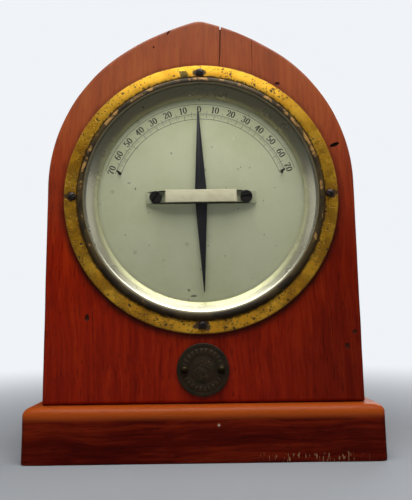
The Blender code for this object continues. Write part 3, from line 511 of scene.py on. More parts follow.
def bezel_brass(screws):
    """Gilt, pitted brass in face coordinates round the dial's axis, darkened by tarnished patches and by painted shade
    at the flange's sides and lower down. The bead and groove are brown, with gold patches on the bead's crest from wear
    and painted highlight, most towards the top.
    """
    s = Shade("bezel_brass", Specular_IOR_Level=0.5, Anisotropic=0.72, Anisotropic_Rotation=0.25)
    around = s.tree.nodes.new("ShaderNodeTangent")
    around.direction_type, around.axis = "RADIAL", "Z"
    s.set("Tangent", around.outputs["Tangent"])
    place = s.place
    r = s.radius()
    x, y, _ = s.parts()
    cloud = s.noise(place, 95.0, 4, 0.6)
    gold = s.mix(s.step(cloud, 0.36, 0.64), (0.98, 0.55, 0.045), (0.80, 0.39, 0.022))
    patches = s.noise(s.mapped((1, 1, 1), (0.31, 0.12, 0.07)), 62.0, 3, 0.6)
    drift = s.vector("SUBTRACT", s.noise(place, 620.0, 2, 0.6, colour=True), (0.5, 0.5, 0.5))
    torn = s.vector("ADD", place, s.vector("MULTIPLY", drift, (2.2 * MM, 2.2 * MM, 0.0)))
    big_away, big_which = s.cells(torn, 290.0, flat=True)
    ragged_edge = s.math("MULTIPLY", s.math("SUBTRACT", s.noise(place, 1900.0, 3, 0.6), 0.5), 0.16)
    big_away = s.math("ADD", big_away, ragged_edge)
    big = s.math("MULTIPLY", s.step(big_away, 0.11, 0.19, 1.0, 0.0), s.step(s.parts(big_which)[0], 0.55, 0.60))
    small_away, small_which = s.cells(s.mapped((1, 1, 1), (0.5, 0.2, 0.1), torn), 900.0, flat=True)
    small = s.math("MULTIPLY", s.step(small_away, 0.18, 0.30, 1.0, 0.0), s.step(s.parts(small_which)[1], 0.60, 0.66))
    pits = s.math("MULTIPLY", s.highest(big, small), s.step(patches, 0.42, 0.54, 0.25, 1.0))
    ragged = s.math("MULTIPLY", s.math("SUBTRACT", s.noise(place, 520.0, 4, 0.65), 0.5), 3.4 * MM)
    grime = s.step(s.math("ADD", r, ragged), 50.9 * MM, 51.7 * MM, 1.0, 0.0)
    rim = s.step(s.math("ADD", r, s.math("MULTIPLY", ragged, 0.35)), 55.6 * MM, 56.1 * MM)
    stains = [s.spot(at, (3.4 * MM, 2.1 * MM), 0.85, 620.0) for at in screws]
    green = s.spot((-6.4 * MM, 51.9 * MM), (1.7 * MM, 1.9 * MM), 0.25, 900.0)
    dark = s.highest(pits, s.math("MULTIPLY", grime, 0.9), s.math("MULTIPLY", rim, 0.6), *stains)
    # painted shade over tarnished patches: the flange is darker at its sides and lower down
    side = s.math("SUBTRACT", s.math("MULTIPLY", s.math("ABSOLUTE", x), 1.0), s.math("MULTIPLY", y, 0.5))
    tarnish_and_side_shade = s.noise(s.mapped((1, 1, 1), (0.7, 0.3, 0.5)), 150.0, 5, 0.65)
    tarnish_and_side_shade = s.step(s.math("ADD", tarnish_and_side_shade, s.math("MULTIPLY", side, 3.7)), 0.60, 0.78)
    gold = s.mix(s.math("MULTIPLY", tarnish_and_side_shade, 0.50), gold, (0.27, 0.105, 0.012))
    colour = s.mix(s.math("MULTIPLY", dark, 0.93), gold, (0.034, 0.014, 0.006))
    colour = s.mix(s.math("MULTIPLY", green, 0.85), colour, (0.045, 0.050, 0.018))
    bead = s.step(r, 50.55 * MM, 50.75 * MM, 1.0, 0.0)
    # gold patches on the bead's crest are wear and painted highlight: they are laid on more towards the top and sides
    high = s.math("ADD", s.math("MULTIPLY", y, 7.0), s.math("MULTIPLY", s.math("ABSOLUTE", x), 3.4))
    wear_and_highlight = s.noise(s.mapped((1, 1, 1), (0.2, 0.6, 0.4)), 190.0, 4, 0.6)
    wear_and_highlight = s.step(s.math("ADD", wear_and_highlight, s.math("MULTIPLY", high, 0.22)), 0.58, 0.66)
    crest = s.math("MULTIPLY", s.step(r, 48.3 * MM, 48.8 * MM), s.step(r, 49.9 * MM, 50.2 * MM, 1.0, 0.0))
    wear_and_highlight = s.math("MULTIPLY", wear_and_highlight, crest)
    brown = s.mix(s.step(cloud, 0.4, 0.6), (0.075, 0.048, 0.014), (0.030, 0.020, 0.008))
    brown = s.mix(s.math("MULTIPLY", wear_and_highlight, 0.9), brown, (0.50, 0.27, 0.075))
    lip = s.step(r, 47.95 * MM, 48.10 * MM, 1.0, 0.0)
    brown = s.mix(lip, brown, (0.20, 0.17, 0.09))
    s.set("Base Color", s.mix(bead, colour, brown))
    dull = s.math("MULTIPLY", bead, s.math("SUBTRACT", 0.85, wear_and_highlight))
    bright = s.math("SUBTRACT", 1.0, s.highest(dark, dull))
    s.set("Metallic", s.number(bright, 0.15, 0.80))
    s.set("Roughness", s.number(s.math("ADD", s.math("MULTIPLY", dark, 0.8), cloud), 0.34, 0.52))
    height = s.math("SUBTRACT", s.math("MULTIPLY", s.noise(place, 1300.0, 3, 0.6), 0.35), dark)
    turning = s.math("SINE", s.math("MULTIPLY", r, 30000.0))
    s.set("Normal", s.bump(height, 0.00009, after=s.bump(turning, 0.000012)))
    return s.material


def silvering():
    """The dial's aged silvering, a little mottled and foxed."""
    s = Shade("silvered_dial", Specular_IOR_Level=0.5)
    place = s.place
    cloud = s.noise(place, 42.0, 4, 0.55)
    grain = s.noise(place, 1700.0, 3, 0.7)
    colour = s.mix(s.step(cloud, 0.35, 0.68), (0.890, 0.915, 0.630), (0.800, 0.825, 0.530))
    colour = s.mix(s.step(grain, 0.45, 0.75, 0.0, 0.12), colour, (0.30, 0.31, 0.20))
    away, which = s.cells(place, 190.0, flat=True)
    chosen = s.step(s.parts(which)[0], 0.86, 0.88)
    fox = s.math("MULTIPLY", s.step(away, 0.03, 0.075, 1.0, 0.0), chosen)
    colour = s.mix(s.math("MULTIPLY", fox, 0.62), colour, (0.13, 0.10, 0.045))
    away, which = s.cells(s.mapped((1, 1, 1), (0.3, 0.1, 0.2)), 95.0, flat=True)
    halo = s.math("MULTIPLY", s.step(away, 0.02, 0.13, 1.0, 0.0), s.step(s.parts(which)[0], 0.86, 0.88))
    colour = s.mix(s.math("MULTIPLY", halo, 0.30), colour, (0.33, 0.27, 0.12))
    marks = ((-30.3, 6.9, 0.75, 0.22), (-27.6, 4.4, 0.30, 0.55), (1.8, 12.2, 0.35, 0.30), (-16.5, 2.6, 0.9, 0.35),
             (2.7, -20.1, 0.28, 0.28), (16.9, 13.1, 0.25, 0.25), (-3.4, -40.9, 1.5, 0.5), (-5.4, -38.6, 0.5, 0.5),
             (-12.5, 19.6, 0.3, 0.5), (-22.0, -5.9, 0.3, 0.3), (9.6, -24.5, 0.25, 0.25))
    crumbs = s.highest(*[s.spot((u * MM, v * MM), (a * MM, b * MM), 0.45, 1500.0) for u, v, a, b in marks])
    colour = s.mix(s.math("MULTIPLY", crumbs, 0.72), colour, (0.10, 0.075, 0.030))
    fleck = s.spot((14.1 * MM, 25.8 * MM), (0.30 * MM, 0.95 * MM), 0.3, 1500.0)
    colour = s.mix(s.math("MULTIPLY", fleck, 0.85), colour, (1.0, 0.98, 0.70))
    # painted shade: the silvering darkens at its rim, in the corner under the reflector ring
    edge = s.step(s.radius(), 41.5 * MM, 43.8 * MM)
    colour = s.mix(s.math("MULTIPLY", edge, 0.25), colour, (0.30, 0.31, 0.20))
    s.set("Base Color", colour)
    s.set("Metallic", 0.62)
    s.set("Roughness", s.number(cloud, 0.41, 0.49))
    s.set("Normal", s.bump(grain, 0.000005))
    return s.material


def reflector():
    s = Shade("reflector_silver", Metallic=0.9)
    place = s.place
    cloud = s.noise(place, 60.0, 3, 0.55)
    colour = s.mix(cloud, (0.90, 0.87, 0.71), (0.78, 0.75, 0.58))
    # painted shade: the ring turns darker olive towards its top
    painted_top_shade = s.step(s.parts()[1], 2 * MM, 36 * MM)
    colour = s.mix(s.math("MULTIPLY", painted_top_shade, 0.8), colour, (0.52, 0.47, 0.27))
    away, which = s.cells(place, 210.0, flat=True)
    specks = s.math("MULTIPLY", s.step(away, 0.05, 0.09, 1.0, 0.0), s.step(s.parts(which)[0], 0.93, 0.94))
    colour = s.mix(s.math("MULTIPLY", specks, 0.8), colour, (0.10, 0.07, 0.03))
    s.set("Base Color", colour)
    s.set("Roughness", s.number(cloud, 0.24, 0.32))
    return s.material


def lacquer(name, base, aged, rough=(0.35, 0.5), metallic=0.0, seed=2.0, limit=None):
    """Old lacquer, mottled from base to aged. Past limit from the middle it takes the dial's colour."""
    s = Shade(name, Metallic=metallic)
    place = s.mapped((1, 1, 1), (seed, seed * 0.6, seed * 1.7))
    cloud = s.noise(place, 210.0, 5, 0.62)
    colour = s.mix(s.step(cloud, 0.38, 0.68), base, aged)
    away, which = s.cells(place, 900.0)
    specks = s.math("MULTIPLY", s.step(away, 0.10, 0.20, 1.0, 0.0), s.step(s.parts(which)[0], 0.84, 0.88))
    colour = s.mix(s.math("MULTIPLY", specks, 0.6), colour, tuple(c * 0.3 for c in aged))
    if limit:
        x = s.math("ABSOLUTE", s.parts()[0])
        colour = s.mix(s.step(x, limit - 0.2 * MM, limit + 0.2 * MM), colour, (0.46, 0.48, 0.31))
    s.set("Base Color", colour)
    s.set("Roughness", s.number(cloud, rough[0], rough[1]))
    s.set("Normal", s.bump(s.noise(place, 1400.0, 3, 0.6), 0.00003))
    return s.material


def clear_glass():
    s = Shade("clear_glass", Transmission_Weight=1.0, IOR=1.46, Roughness=0.0)
    s.set("Base Color", (0.985, 0.995, 0.98))
    return s.material


def silk(name="silk_wire", twist=0.6):
    """Wire lapped in green silk, darker with age."""
    s = Shade(name, Sheen_Weight=0.25, Sheen_Roughness=0.5)
    x, y, z = s.parts()
    lay = s.math("ADD", s.math("MULTIPLY", s.math("ADD", y, z), 2600.0), s.math("MULTIPLY", x, 2600.0 * twist))
    thread = s.math("SINE", lay)
    cloud = s.noise(s.place, 260.0, 4, 0.6)
    colour = s.mix(s.step(cloud, 0.35, 0.7), (0.030, 0.115, 0.052), (0.035, 0.060, 0.028))
    s.set("Base Color", s.mix(s.step(thread, -0.2, 0.9, 0.0, 0.45), colour, (0.012, 0.040, 0.018)))
    s.set("Roughness", 0.78)
    s.set("Normal", s.bump(thread, 0.00006))
    return s.material


def disc_bronze():
    """The name disc's blackened bronze, a little green, with a paler rim."""
    s = Shade("disc_bronze", Specular_IOR_Level=0.5)
    cloud = s.noise(s.place, 260.0, 5, 0.65)
    fine = s.noise(s.place, 1500.0, 3, 0.6)
    colour = s.mix(s.step(cloud, 0.38, 0.66), (0.050, 0.030, 0.014), (0.026, 0.020, 0.010))
    r = s.radius()
    x, y, _ = s.parts()
    angle = s.math("ARCTAN2", y, x)
    wobble = s.math("MULTIPLY", s.noise(s.place, 620.0, 2, 0.6), 5.0)
    letters = s.step(s.math("SINE", s.math("ADD", s.math("MULTIPLY", angle, 26.0), wobble)), 0.0, 0.35)
    band = s.math("MULTIPLY", s.step(r, 6.5 * MM, 6.8 * MM), s.step(r, 8.1 * MM, 8.4 * MM, 1.0, 0.0))
    crest = s.math("MULTIPLY", s.step(s.noise(s.place, 900.0, 3, 0.7), 0.52, 0.58), s.step(r, 3.6 * MM, 4.4 * MM, 1.0, 0.0))
    relief = s.highest(s.math("MULTIPLY", band, letters), crest)
    colour = s.mix(s.math("MULTIPLY", relief, 0.45), colour, (0.100, 0.068, 0.034))
    s.set("Base Color", colour)
    s.set("Metallic", 0.5)
    s.set("Roughness", s.number(cloud, 0.42, 0.60))
    s.set("Normal", s.bump(s.math("ADD", fine, s.math("ADD", cloud, s.math("MULTIPLY", relief, 1.6))), 0.00008))
    return s.material


def worn_plinth(s, colour):
    """Rubbed paint-light flecks low on the front right, and a painted highlight that makes the top edge paler."""
    x, y, z = s.parts()
    scratch = s.noise(s.mapped((1500.0, 60.0, 330.0)), 1.0, 2, 0.6)
    high = s.noise(s.mapped((160.0, 1.0, 1.0)), 1.0, 2, 0.6)
    low = s.step(s.math("SUBTRACT", z, s.math("MULTIPLY", high, 4.2 * MM)), 0.6 * MM, 1.6 * MM, 1.0, 0.0)
    right = s.math("MULTIPLY", s.step(x, 17 * MM, 26 * MM), s.step(x, 58 * MM, 64 * MM, 1.0, 0.0))
    front = s.step(y, -44.2 * MM, -43.2 * MM, 1.0, 0.0)
    mark = s.math("MULTIPLY", s.step(scratch, 0.60, 0.66), s.math("MULTIPLY", low, s.math("MULTIPLY", right, front)))
    # painted highlight: the rounded top edge is paler orange
    colour = s.mix(s.step(z, 15.2 * MM, 18.2 * MM, 0.0, 0.85), colour, (0.47, 0.085, 0.010))
    away = s.math("ADD", s.math("ABSOLUTE", s.math("SUBTRACT", x, 5.8 * MM)), s.math("ABSOLUTE", s.math("SUBTRACT", z, 13.9 * MM)))
    fleck = s.math("MULTIPLY", s.step(away, 0.5 * MM, 0.8 * MM, 1.0, 0.0), front)
    colour = s.mix(s.math("MULTIPLY", fleck, 0.8), colour, (0.55, 0.40, 0.28))
    return s.mix(s.math("MULTIPLY", mark, 0.75), colour, (0.42, 0.25, 0.13))


def faded_front(s, colour):
    """Painted sheen makes the board paler orange high up, against deep red low down, and painted shade darkens it at
    the right.
    """
    x, y, z = s.parts()
    drift = s.math("MULTIPLY", s.math("SUBTRACT", s.noise(s.place, 18.0, 2, 0.5), 0.5), 50 * MM)
    # high marks the upper board, whose colour is lifted as a painted sheen; right marks painted shade at the right
    high = s.step(s.math("ADD", y, drift), 55 * MM, 150 * MM)
    right = s.math("MULTIPLY", s.step(x, 10 * MM, 62 * MM), s.step(y, 60 * MM, 125 * MM, 1.0, 0.0))
    sheen_and_shade_tint = s.mix(high, (0.90, 0.50, 0.12), (1.04, 2.20, 2.8))
    colour = s.mix(1.0, colour, s.mix(right, sheen_and_shade_tint, (0.52, 0.30, 0.12)), "MULTIPLY")
    centre = Spot("bezel").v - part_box("case_front")[0].z
    below = s.math("SUBTRACT", y, centre)
    away = s.math("SQRT", s.math("ADD", s.math("MULTIPLY", x, x), s.math("MULTIPLY", below, below)))
    # dark grime round the bezel, and a painted shadow under its flange: the band is darkest below the bezel
    ragged = s.math("MULTIPLY", s.math("SUBTRACT", s.noise(s.place, 160.0, 3, 0.6), 0.5), 2.4 * MM)
    grime = s.math("MULTIPLY", s.step(s.math("ADD", away, ragged), 56.2 * MM, 59.4 * MM, 1.0, 0.0),
                   s.step(below, -40 * MM, 30 * MM, 0.85, 0.35))
    # painted sheen: a paler brown laid over the upper board
    colour = s.mix(s.math("MULTIPLY", high, 0.48), colour, (0.32, 0.102, 0.048))
    return s.mix(grime, colour, (0.024, 0.005, 0.002))


SCREW_RING = 52.7 * MM
FRONT_WOOD = wood("front_wood", 1, 1.0, extra=faded_front)
CASE_WOOD = wood("case_wood", 0, 2.0, uv=True)
BACK_WOOD = wood("back_wood", 1, 5.0)
RAIL_WOOD = wood("rail_wood", 0, 7.0)
PLINTH_WOOD = wood("plinth_wood", 0, 3.0, (0.028, 0.0010, 0.0002), (0.095, 0.0040, 0.0005), (0.22, 0.017, 0.0020),
                   figure=1.15, coat=0.15, extra=worn_plinth)
RAW_WOOD = wood("inner_wood", 1, 4.0, (0.15, 0.048, 0.018), (0.24, 0.088, 0.034), (0.33, 0.14, 0.06), coat=0.0,
                rough=(0.6, 0.75))
CRACK_WOOD = wood("crack_wood", 1, 9.0, (0.008, 0.004, 0.003), (0.018, 0.007, 0.004), (0.035, 0.014, 0.007),
                  coat=0.0, rough=(0.7, 0.9))
DENT_WOOD = wood("dent_wood", 1, 11.0, (0.030, 0.006, 0.003), (0.055, 0.010, 0.004), (0.090, 0.018, 0.006), coat=0.1)
OLD_BRASS = bezel_brass([(SCREW_RING, 0), (0, SCREW_RING), (-SCREW_RING, 0), (0, -SCREW_RING)])
CLEAN_BRASS = brass("clean_brass")
INNER_BRASS = brass("lacquered_brass", (0.60, 0.42, 0.15), (0.42, 0.28, 0.09), (0.26, 0.40), 2.0, 0.25)
DIAL_SILVER = silvering()
REFLECTOR = reflector()
IVORY = lacquer("ivory_bar", (0.80, 0.75, 0.52), (0.70, 0.64, 0.42), (0.32, 0.46), 0.1, 2.0, 15.3 * MM)
BLACK = lacquer("black_pointer", (0.013, 0.013, 0.017), (0.022, 0.020, 0.022), (0.34, 0.50), 0.2, 4.0)
INK = lacquer("scale_ink", (0.030, 0.034, 0.026), (0.055, 0.060, 0.042), (0.55, 0.7), 0.0, 5.0)
DARK_STEEL = steel("dark_steel", (0.050, 0.043, 0.043), (0.36, 0.55), 0.7, 0.55, 1.0)
BLACK_STEEL = steel("black_steel", (0.020, 0.019, 0.018), (0.34, 0.5), 0.6, 0.15, 9.0)
STEEL = steel("bright_steel", (0.42, 0.42, 0.43), (0.24, 0.42), 1.0, 0.15, 2.0)
DISC_BRONZE = disc_bronze()
BRONZE = brass("dark_bronze", (0.062, 0.045, 0.022), (0.034, 0.026, 0.015), (0.40, 0.58), 6.0, 0.6)
GLASS = clear_glass()
SILK = silk()
VULCANITE = lacquer("vulcanite", (0.014, 0.012, 0.011), (0.024, 0.019, 0.014), (0.36, 0.55), 0.0, 8.0)


# ---------------------------------------------------------------- the case

SPRING = 88.4 * MM
HAUNCH_RADIUS = 70.0 * MM
CROWN_RADIUS = 108.0 * MM
CROWN_START = 57.0
APEX_RADIUS = 10.0 * MM
CASE_HALF = Spot("case_front").half
CASE_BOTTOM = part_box("case_front")[0].z
CASE_FRONT = Spot("case_front").front
DIAL_AT = Spot("dial").v


def arch_half(inset=0.0, bottom=0.0, side=40, haunch=56, crown=34, apex=8):
    """The right half of the case's four-centred arch, from its foot up to the middle of the apex."""
    haunch_at = (CASE_HALF - HAUNCH_RADIUS, SPRING)
    start = math.radians(CROWN_START)
    apart = CROWN_RADIUS - HAUNCH_RADIUS
    crown_at = (haunch_at[0] - apart * math.cos(start), haunch_at[1] - apart * math.sin(start))
    apex_radius = max(APEX_RADIUS - inset, 1 * MM)
    crown_radius = CROWN_RADIUS - inset
    rise = math.sqrt((crown_radius - apex_radius) ** 2 - crown_at[0] ** 2)
    touch = math.degrees(math.atan2(rise, -crown_at[0]))
    points = [(CASE_HALF - inset, bottom + inset + (SPRING - bottom - inset) * i / side) for i in range(side)]
    points += arc(haunch_at, HAUNCH_RADIUS - inset, 0, CROWN_START, haunch)
    points += arc(crown_at, crown_radius, CROWN_START, touch, crown)[1:]
    points += arc((0, crown_at[1] + rise), apex_radius, touch, 90, apex)[1:]
    return points


def arch_path(inset=0.0, bottom=0.0):
    """From the right foot over the apex to the left foot."""
    right = arch_half(inset, bottom)
    return right + [(-u, v) for u, v in reversed(right[:-1])]


def arch_outline(inset=0.0, bottom=0.0, base=60):
    path = arch_path(inset, bottom)
    left, right = path[-1], path[0]
    floor = [(left[0] + (right[0] - left[0]) * i / base, left[1]) for i in range(1, base)]
    return path + floor


def dent(u, v, size, tilt=0.0):
    """A dark scoop out of the front board. size is (half length, half height, depth)."""
    bm = bmesh.new()
    bmesh.ops.create_uvsphere(bm, u_segments=18, v_segments=10, radius=1.0)
    bmesh.ops.scale(bm, vec=size, verts=bm.verts)
    wear(bm, 0.14 * MM, 900.0, u * 1000)
    finish = CRACK_WOOD if size[2] > 0.4 * MM else DENT_WOOD
    return make("dent", bm, finish, facing(u, v, -tilt, CASE_FRONT + size[2] * 0.25))


def groove(points, widths, depth):
    bm = bmesh.new()
    ribbon(bm, points, widths, CASE_FRONT - depth, CASE_FRONT + 1 * MM)
    return make("groove", bm, CRACK_WOOD, facing(0, CASE_BOTTOM))


def make_front():
    spot = Spot("case_front")
    bm = softened(arch_outline, spot.back, spot.front, 1.3 * MM, 0.3 * MM, 5)
    wear(bm, 0.10 * MM, 95.0, 3.0, lambda at: at.z > spot.front - 1.4 * MM and at.z < spot.front - 0.01 * MM)
    front = make("case_front_board", bm, [FRONT_WOOD, CRACK_WOOD, DENT_WOOD], facing(0, CASE_BOTTOM))
    hole = make("hole", rod(50.3 * MM, spot.back - 1 * MM, spot.front + 1 * MM, 160), FRONT_WOOD, facing(0, DIAL_AT))
    cutters = [hole]
    for name in ("bezel_screw_right", "bezel_screw_top", "bezel_screw_left", "bezel_screw_bottom"):
        at = Spot(name)
        cutters.append(make("pilot", rod(1.2 * MM, 32.5 * MM, 50 * MM, 16), RAW_WOOD, facing(at.u, at.v)))
    for name in ("disc_pin_left", "disc_pin_right"):
        at = Spot(name)
        cutters.append(make("pilot", rod(1.0 * MM, 33.5 * MM, 50 * MM, 16), RAW_WOOD, facing(at.u, at.v)))
    crack = [(9.15 * MM, 162 * MM), (9.10 * MM, 157 * MM), (9.0 * MM, 153.5 * MM), (8.85 * MM, 149 * MM),
             (8.75 * MM, 145 * MM), (8.4 * MM, 141 * MM), (8.2 * MM, 137 * MM)]
    cutters.append(groove(crack, [0.55 * MM, 0.50 * MM, 0.42 * MM, 0.45 * MM, 0.36 * MM, 0.34 * MM, 0.22 * MM], 1.6 * MM))
    chip = [(9.2 * MM, 163 * MM), (9.25 * MM, 158.9 * MM), (9.1 * MM, 157.2 * MM)]
    cutters.append(groove(chip, [2.2 * MM, 1.2 * MM, 0.35 * MM], 12 * MM))
    hair = [(22.6 * MM, 156 * MM), (22.4 * MM, 148 * MM), (22.5 * MM, 141 * MM), (22.1 * MM, 134 * MM)]
    cutters.append(groove(hair, [0.16 * MM, 0.20 * MM, 0.14 * MM, 0.10 * MM], 0.25 * MM))
    dents = ((56.0, 104.3, (2.2, 0.85, 0.8), 22), (-46.2, 33.9, (0.95, 1.5, 0.38), 0), (-13.2, 155.4, (1.5, 0.45, 0.5), 55),
             (-51.0, 99.5, (0.9, 0.6, 0.3), 30), (33.0, 131.5, (1.1, 0.8, 0.3), 0), (60.6, 27.0, (1.2, 0.9, 0.3), 40),
             (57.5, 21.5, (1.0, 1.3, 0.3), 20), (22.6, 38.9, (0.8, 0.6, 0.3), 0), (-19.6, 148.6, (0.5, 0.5, 0.3), 0))
    for u, h, size, tilt in dents:
        cutters.append(dent(u * MM, CASE_BOTTOM + h * MM, [x * MM for x in size], tilt))
    show(cut(front, *cutters, angle=24.0), "case_front")


def make_arch():
    """The bent shell: a rounded section carried along the arch, with the grain running round it."""
    spot = Spot("case_arch")
    thick = 7.0 * MM
    corners = [(0, spot.back), (0, spot.front), (thick, spot.front), (thick, spot.back)]
    section = rounded(corners, 0.35 * MM, 3)
    section = finely(section, 6 * MM)
    paths = [arch_path(inset) for inset, _ in section]
    paths = [[(u, max(v - inset, 0.0) if i in (0, len(path) - 1) else v) for i, (u, v) in enumerate(path)]
             for path, (inset, _) in zip(paths, section)]
    bm = bmesh.new()
    rows = [[bm.verts.new((u, v, w)) for u, v in path] for path, (_, w) in zip(paths, section)]
    layer = bm.loops.layers.uv.new("grain")
    lengths = [0.0]
    for a, b in zip(paths[0], paths[0][1:]):
        lengths.append(lengths[-1] + math.dist(a, b))
    around = [0.0]
    for a, b in zip(section, section[1:] + section[:1]):
        around.append(around[-1] + math.dist(a, b))
    for k, row in enumerate(rows):
        following = rows[(k + 1) % len(rows)]
        inner = section[k][0] > thick - 0.01 * MM and section[(k + 1) % len(rows)][0] > thick - 0.01 * MM
        for i in range(len(row) - 1):
            face = bm.faces.new((row[i], row[i + 1], following[i + 1], following[i]))
            face.material_index = int(inner)
            for loop, (n, m) in zip(face.loops, ((i, k), (i + 1, k), (i + 1, k + 1), (i, k + 1))):
                loop[layer].uv = (lengths[n], around[m])
    bm.faces.new([row[0] for row in rows])
    bm.faces.new([row[-1] for row in rows])
    show(make("case_arch_shell", bm, [CASE_WOOD, RAW_WOOD], facing(0, CASE_BOTTOM)), "case_arch")


def make_back():
    spot = Spot("back_rail")
    corner = 0.6 * MM
    rail = softened(lambda inset: rounded_rectangle(spot.half - inset, spot.tall - inset, corner, 3),
                    spot.back, spot.front, 0.3 * MM, 0.8 * MM)
    show(make("back_rail_board", rail, RAIL_WOOD, facing(0, spot.v)), "back_rail")
    spot = Spot("back_door")
    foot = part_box("back_door")[0].z - CASE_BOTTOM
    door = softened(lambda inset: arch_outline(inset, foot), spot.back, spot.front, 0.3 * MM, 0.9 * MM, 4)
    show(make("door_board", door, BACK_WOOD, facing(0, CASE_BOTTOM)), "back_door")


def plinth_loop(half_x, half_y, radius, long=84, short=52, count=7):
    """A rounded rectangle with the same number of points whatever its size."""
    points = []
    corners = ((1, 1, 0, long), (-1, 1, 90, short), (-1, -1, 180, long), (1, -1, 270, short))
    arcs = [arc((sx * (half_x - radius), sy * (half_y - radius)), radius, start, start + 90, count)
            for sx, sy, start, _ in corners]
    for k, (_, _, _, divisions) in enumerate(corners):
        points += arcs[k]
        a, b = arcs[k][-1], arcs[(k + 1) % 4][0]
        points += [(a[0] + (b[0] - a[0]) * i / divisions, a[1] + (b[1] - a[1]) * i / divisions)
                   for i in range(1, divisions)]
    return points


def make_plinth():
    low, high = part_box("plinth")
    half_x, half_y, top = high.x, high.y, high.z
    edge, foot, corner = 3.0 * MM, 0.6 * MM, 2.4 * MM
    loops = [(foot * (1 - math.sin(t)), foot * (1 - math.cos(t))) for t in quarter(3)]
    rise = top - edge - foot
    loops += [(0.0, foot + rise * i / 12) for i in range(1, 12)]
    loops += [(edge * (1 - math.cos(t)), top - edge + edge * math.sin(t)) for t in quarter(8)]
    loops += [(inset, top) for inset in (4 * MM, 6 * MM, 10 * MM)]
    bm = stack([(plinth_loop(half_x - inset, half_y - inset, corner + inset * 0.4), z) for inset, z in loops])
    wear(bm, 0.16 * MM, 70.0, 1.0, lambda at: 0.3 * MM < at.z < top - 0.03 * MM)
    wear(bm, 0.05 * MM, 420.0, 5.0, lambda at: 0.3 * MM < at.z < top - 0.03 * MM)
    plinth = make("plinth_block", bm, [PLINTH_WOOD, RAW_WOOD])
    cutters = []
    for side in ("left", "right"):
        x, y = Spot("terminal_post_" + side).u, Spot("terminal_post_" + side).y
        cutters.append(make("channel", box((x - 2.5 * MM, -26.5 * MM, -1 * MM), (x + 2.5 * MM, y, 6.4 * MM)), RAW_WOOD))
        for radius, height, at in ((5.6, 7.0, y), (2.3, 30.0, y), (1.8, 30.0, -24 * MM)):
            cutters.append(make("bore", rod(radius * MM, -1 * MM, height * MM, 24), RAW_WOOD,
                                Matrix.Translation((x, at, 0))))
        x = Spot("foot_screw_" + side).u
        for radius, height in ((3.6, 6.0), (1.8, 30.0)):
            cutters.append(make("bore", rod(radius * MM, -1 * MM, height * MM, 24), RAW_WOOD,
                                Matrix.Translation((x, 0, 0))))
    show(cut(plinth, *cutters), "plinth")


# ---------------------------------------------------------------- screws

def screw(name, finish, at, head, shank, slot=True, domed=True, seat=0.0, steps=40):
    """A slotted screw. head is (radius, height), shank is (radius, length), and the head sits at w = seat."""
    radius, height = head
    top = [(radius * math.cos(t), height * (0.35 + 0.65 * math.sin(t))) for t in quarter(8)]
    if not domed:
        top = [(radius, height * 0.82), (radius * 0.975, height * 0.94), (radius * 0.91, height), (0, height)]
    profile = [(0, -shank[1]), (shank[0], -shank[1]), (shank[0], 0), (radius * 0.96, 0), (radius, height * 0.1), *top]
    profile[-1] = (0, height)
    bm = turned([(r, z + seat) for r, z in profile], steps)
    made = make(name, bm, finish, at)
    if slot:
        wide, deep = radius * 0.13, seat + height * 0.5
        bm = box((-radius * 1.2, -wide, deep), (radius * 1.2, wide, seat + height * 1.5))
        cut(made, make("slot", bm, finish, at))
    return made


def make_front_screws():
    for name in ("right", "top", "left", "bottom"):
        node = "bezel_screw_" + name
        spot = Spot(node)
        spin = 35.0 * (spot.u + spot.v - DIAL_AT) / SCREW_RING
        show(screw("bezel_woodscrew_" + name, DARK_STEEL, facing(spot.u, spot.v, spin), (1.6 * MM, 1.1 * MM),
                   (0.9 * MM, 8 * MM), seat=spot.front - 1.1 * MM), node)
    for name, spin in (("left", -60.0), ("right", -4.0)):
        node = "bridge_screw_" + name
        spot = Spot(node)
        show(screw("bridge_cheesehead_" + name, BLACK_STEEL, facing(spot.u, spot.v, spin), (2.5 * MM, 2.0 * MM),
                   (1.2 * MM, 5 * MM), domed=False, seat=spot.front - 2.0 * MM), node)
    for name in ("left", "right"):
        node = "disc_pin_" + name
        spot = Spot(node)
        show(screw("disc_nail_" + name, BRONZE, facing(spot.u, spot.v), (1.5 * MM, 1.1 * MM), (0.7 * MM, 5.5 * MM),
                   slot=False, seat=spot.front - 1.1 * MM), node)


# ---------------------------------------------------------------- bezel, glass and dial

def make_bezel():
    spot = Spot("bezel")
    flange = spot.half
    back, face = 39.3 * MM, 41.1 * MM
    bead_at, bead = (48.9 * MM, 41.6 * MM), 1.4 * MM
    profile = [(50.0 * MM, 34.0 * MM), (50.0 * MM, back), (flange, back)]
    profile += arc((flange - 0.55 * MM, face - 0.55 * MM), 0.55 * MM, 0, 90, 5)
    profile += [(53.5 * MM, face + 0.06 * MM), (51.2 * MM, face)]
    profile += [(50.95 * MM, face - 0.12 * MM), (50.85 * MM, 40.6 * MM), (50.3 * MM, 40.6 * MM)]
    profile += arc(bead_at, bead, 0, 152, 14)
    profile += [(47.55 * MM, 42.2 * MM), (48.8 * MM, 42.2 * MM), (48.8 * MM, 34.0 * MM)]
    show(make("bezel_ring", turned(profile, 224), OLD_BRASS, facing(0, spot.v), 50.0), "bezel")

    spot = Spot("glass")
    edge = [(0, spot.back), (spot.half - 0.2 * MM, spot.back), (spot.half, spot.back + 0.2 * MM),
            (spot.half, spot.front - 0.2 * MM), (spot.half - 0.2 * MM, spot.front), (0, spot.front)]
    glass = show(make("dial_glass", turned(edge, 128), GLASS, facing(0, spot.v)), "glass")
    glass.visible_shadow = glass.visible_diffuse = glass.visible_glossy = False

    spot = Spot("reflector_ring")
    outer, front, back = spot.half, spot.front, spot.back
    wide, foot = 47.3 * MM, 43.4 * MM
    deep = front - back - 0.2 * MM
    slope = [(wide + (foot - wide) * t, front - deep * (0.84 * t + 0.16 * t ** 4)) for t in [i / 10 for i in range(11)]]
    slope.append((foot, back))
    ring = [(outer, back), (outer, front), *slope]
    show(make("reflector_cone", turned(ring, 224), REFLECTOR, facing(0, spot.v), 60.0), "reflector_ring")


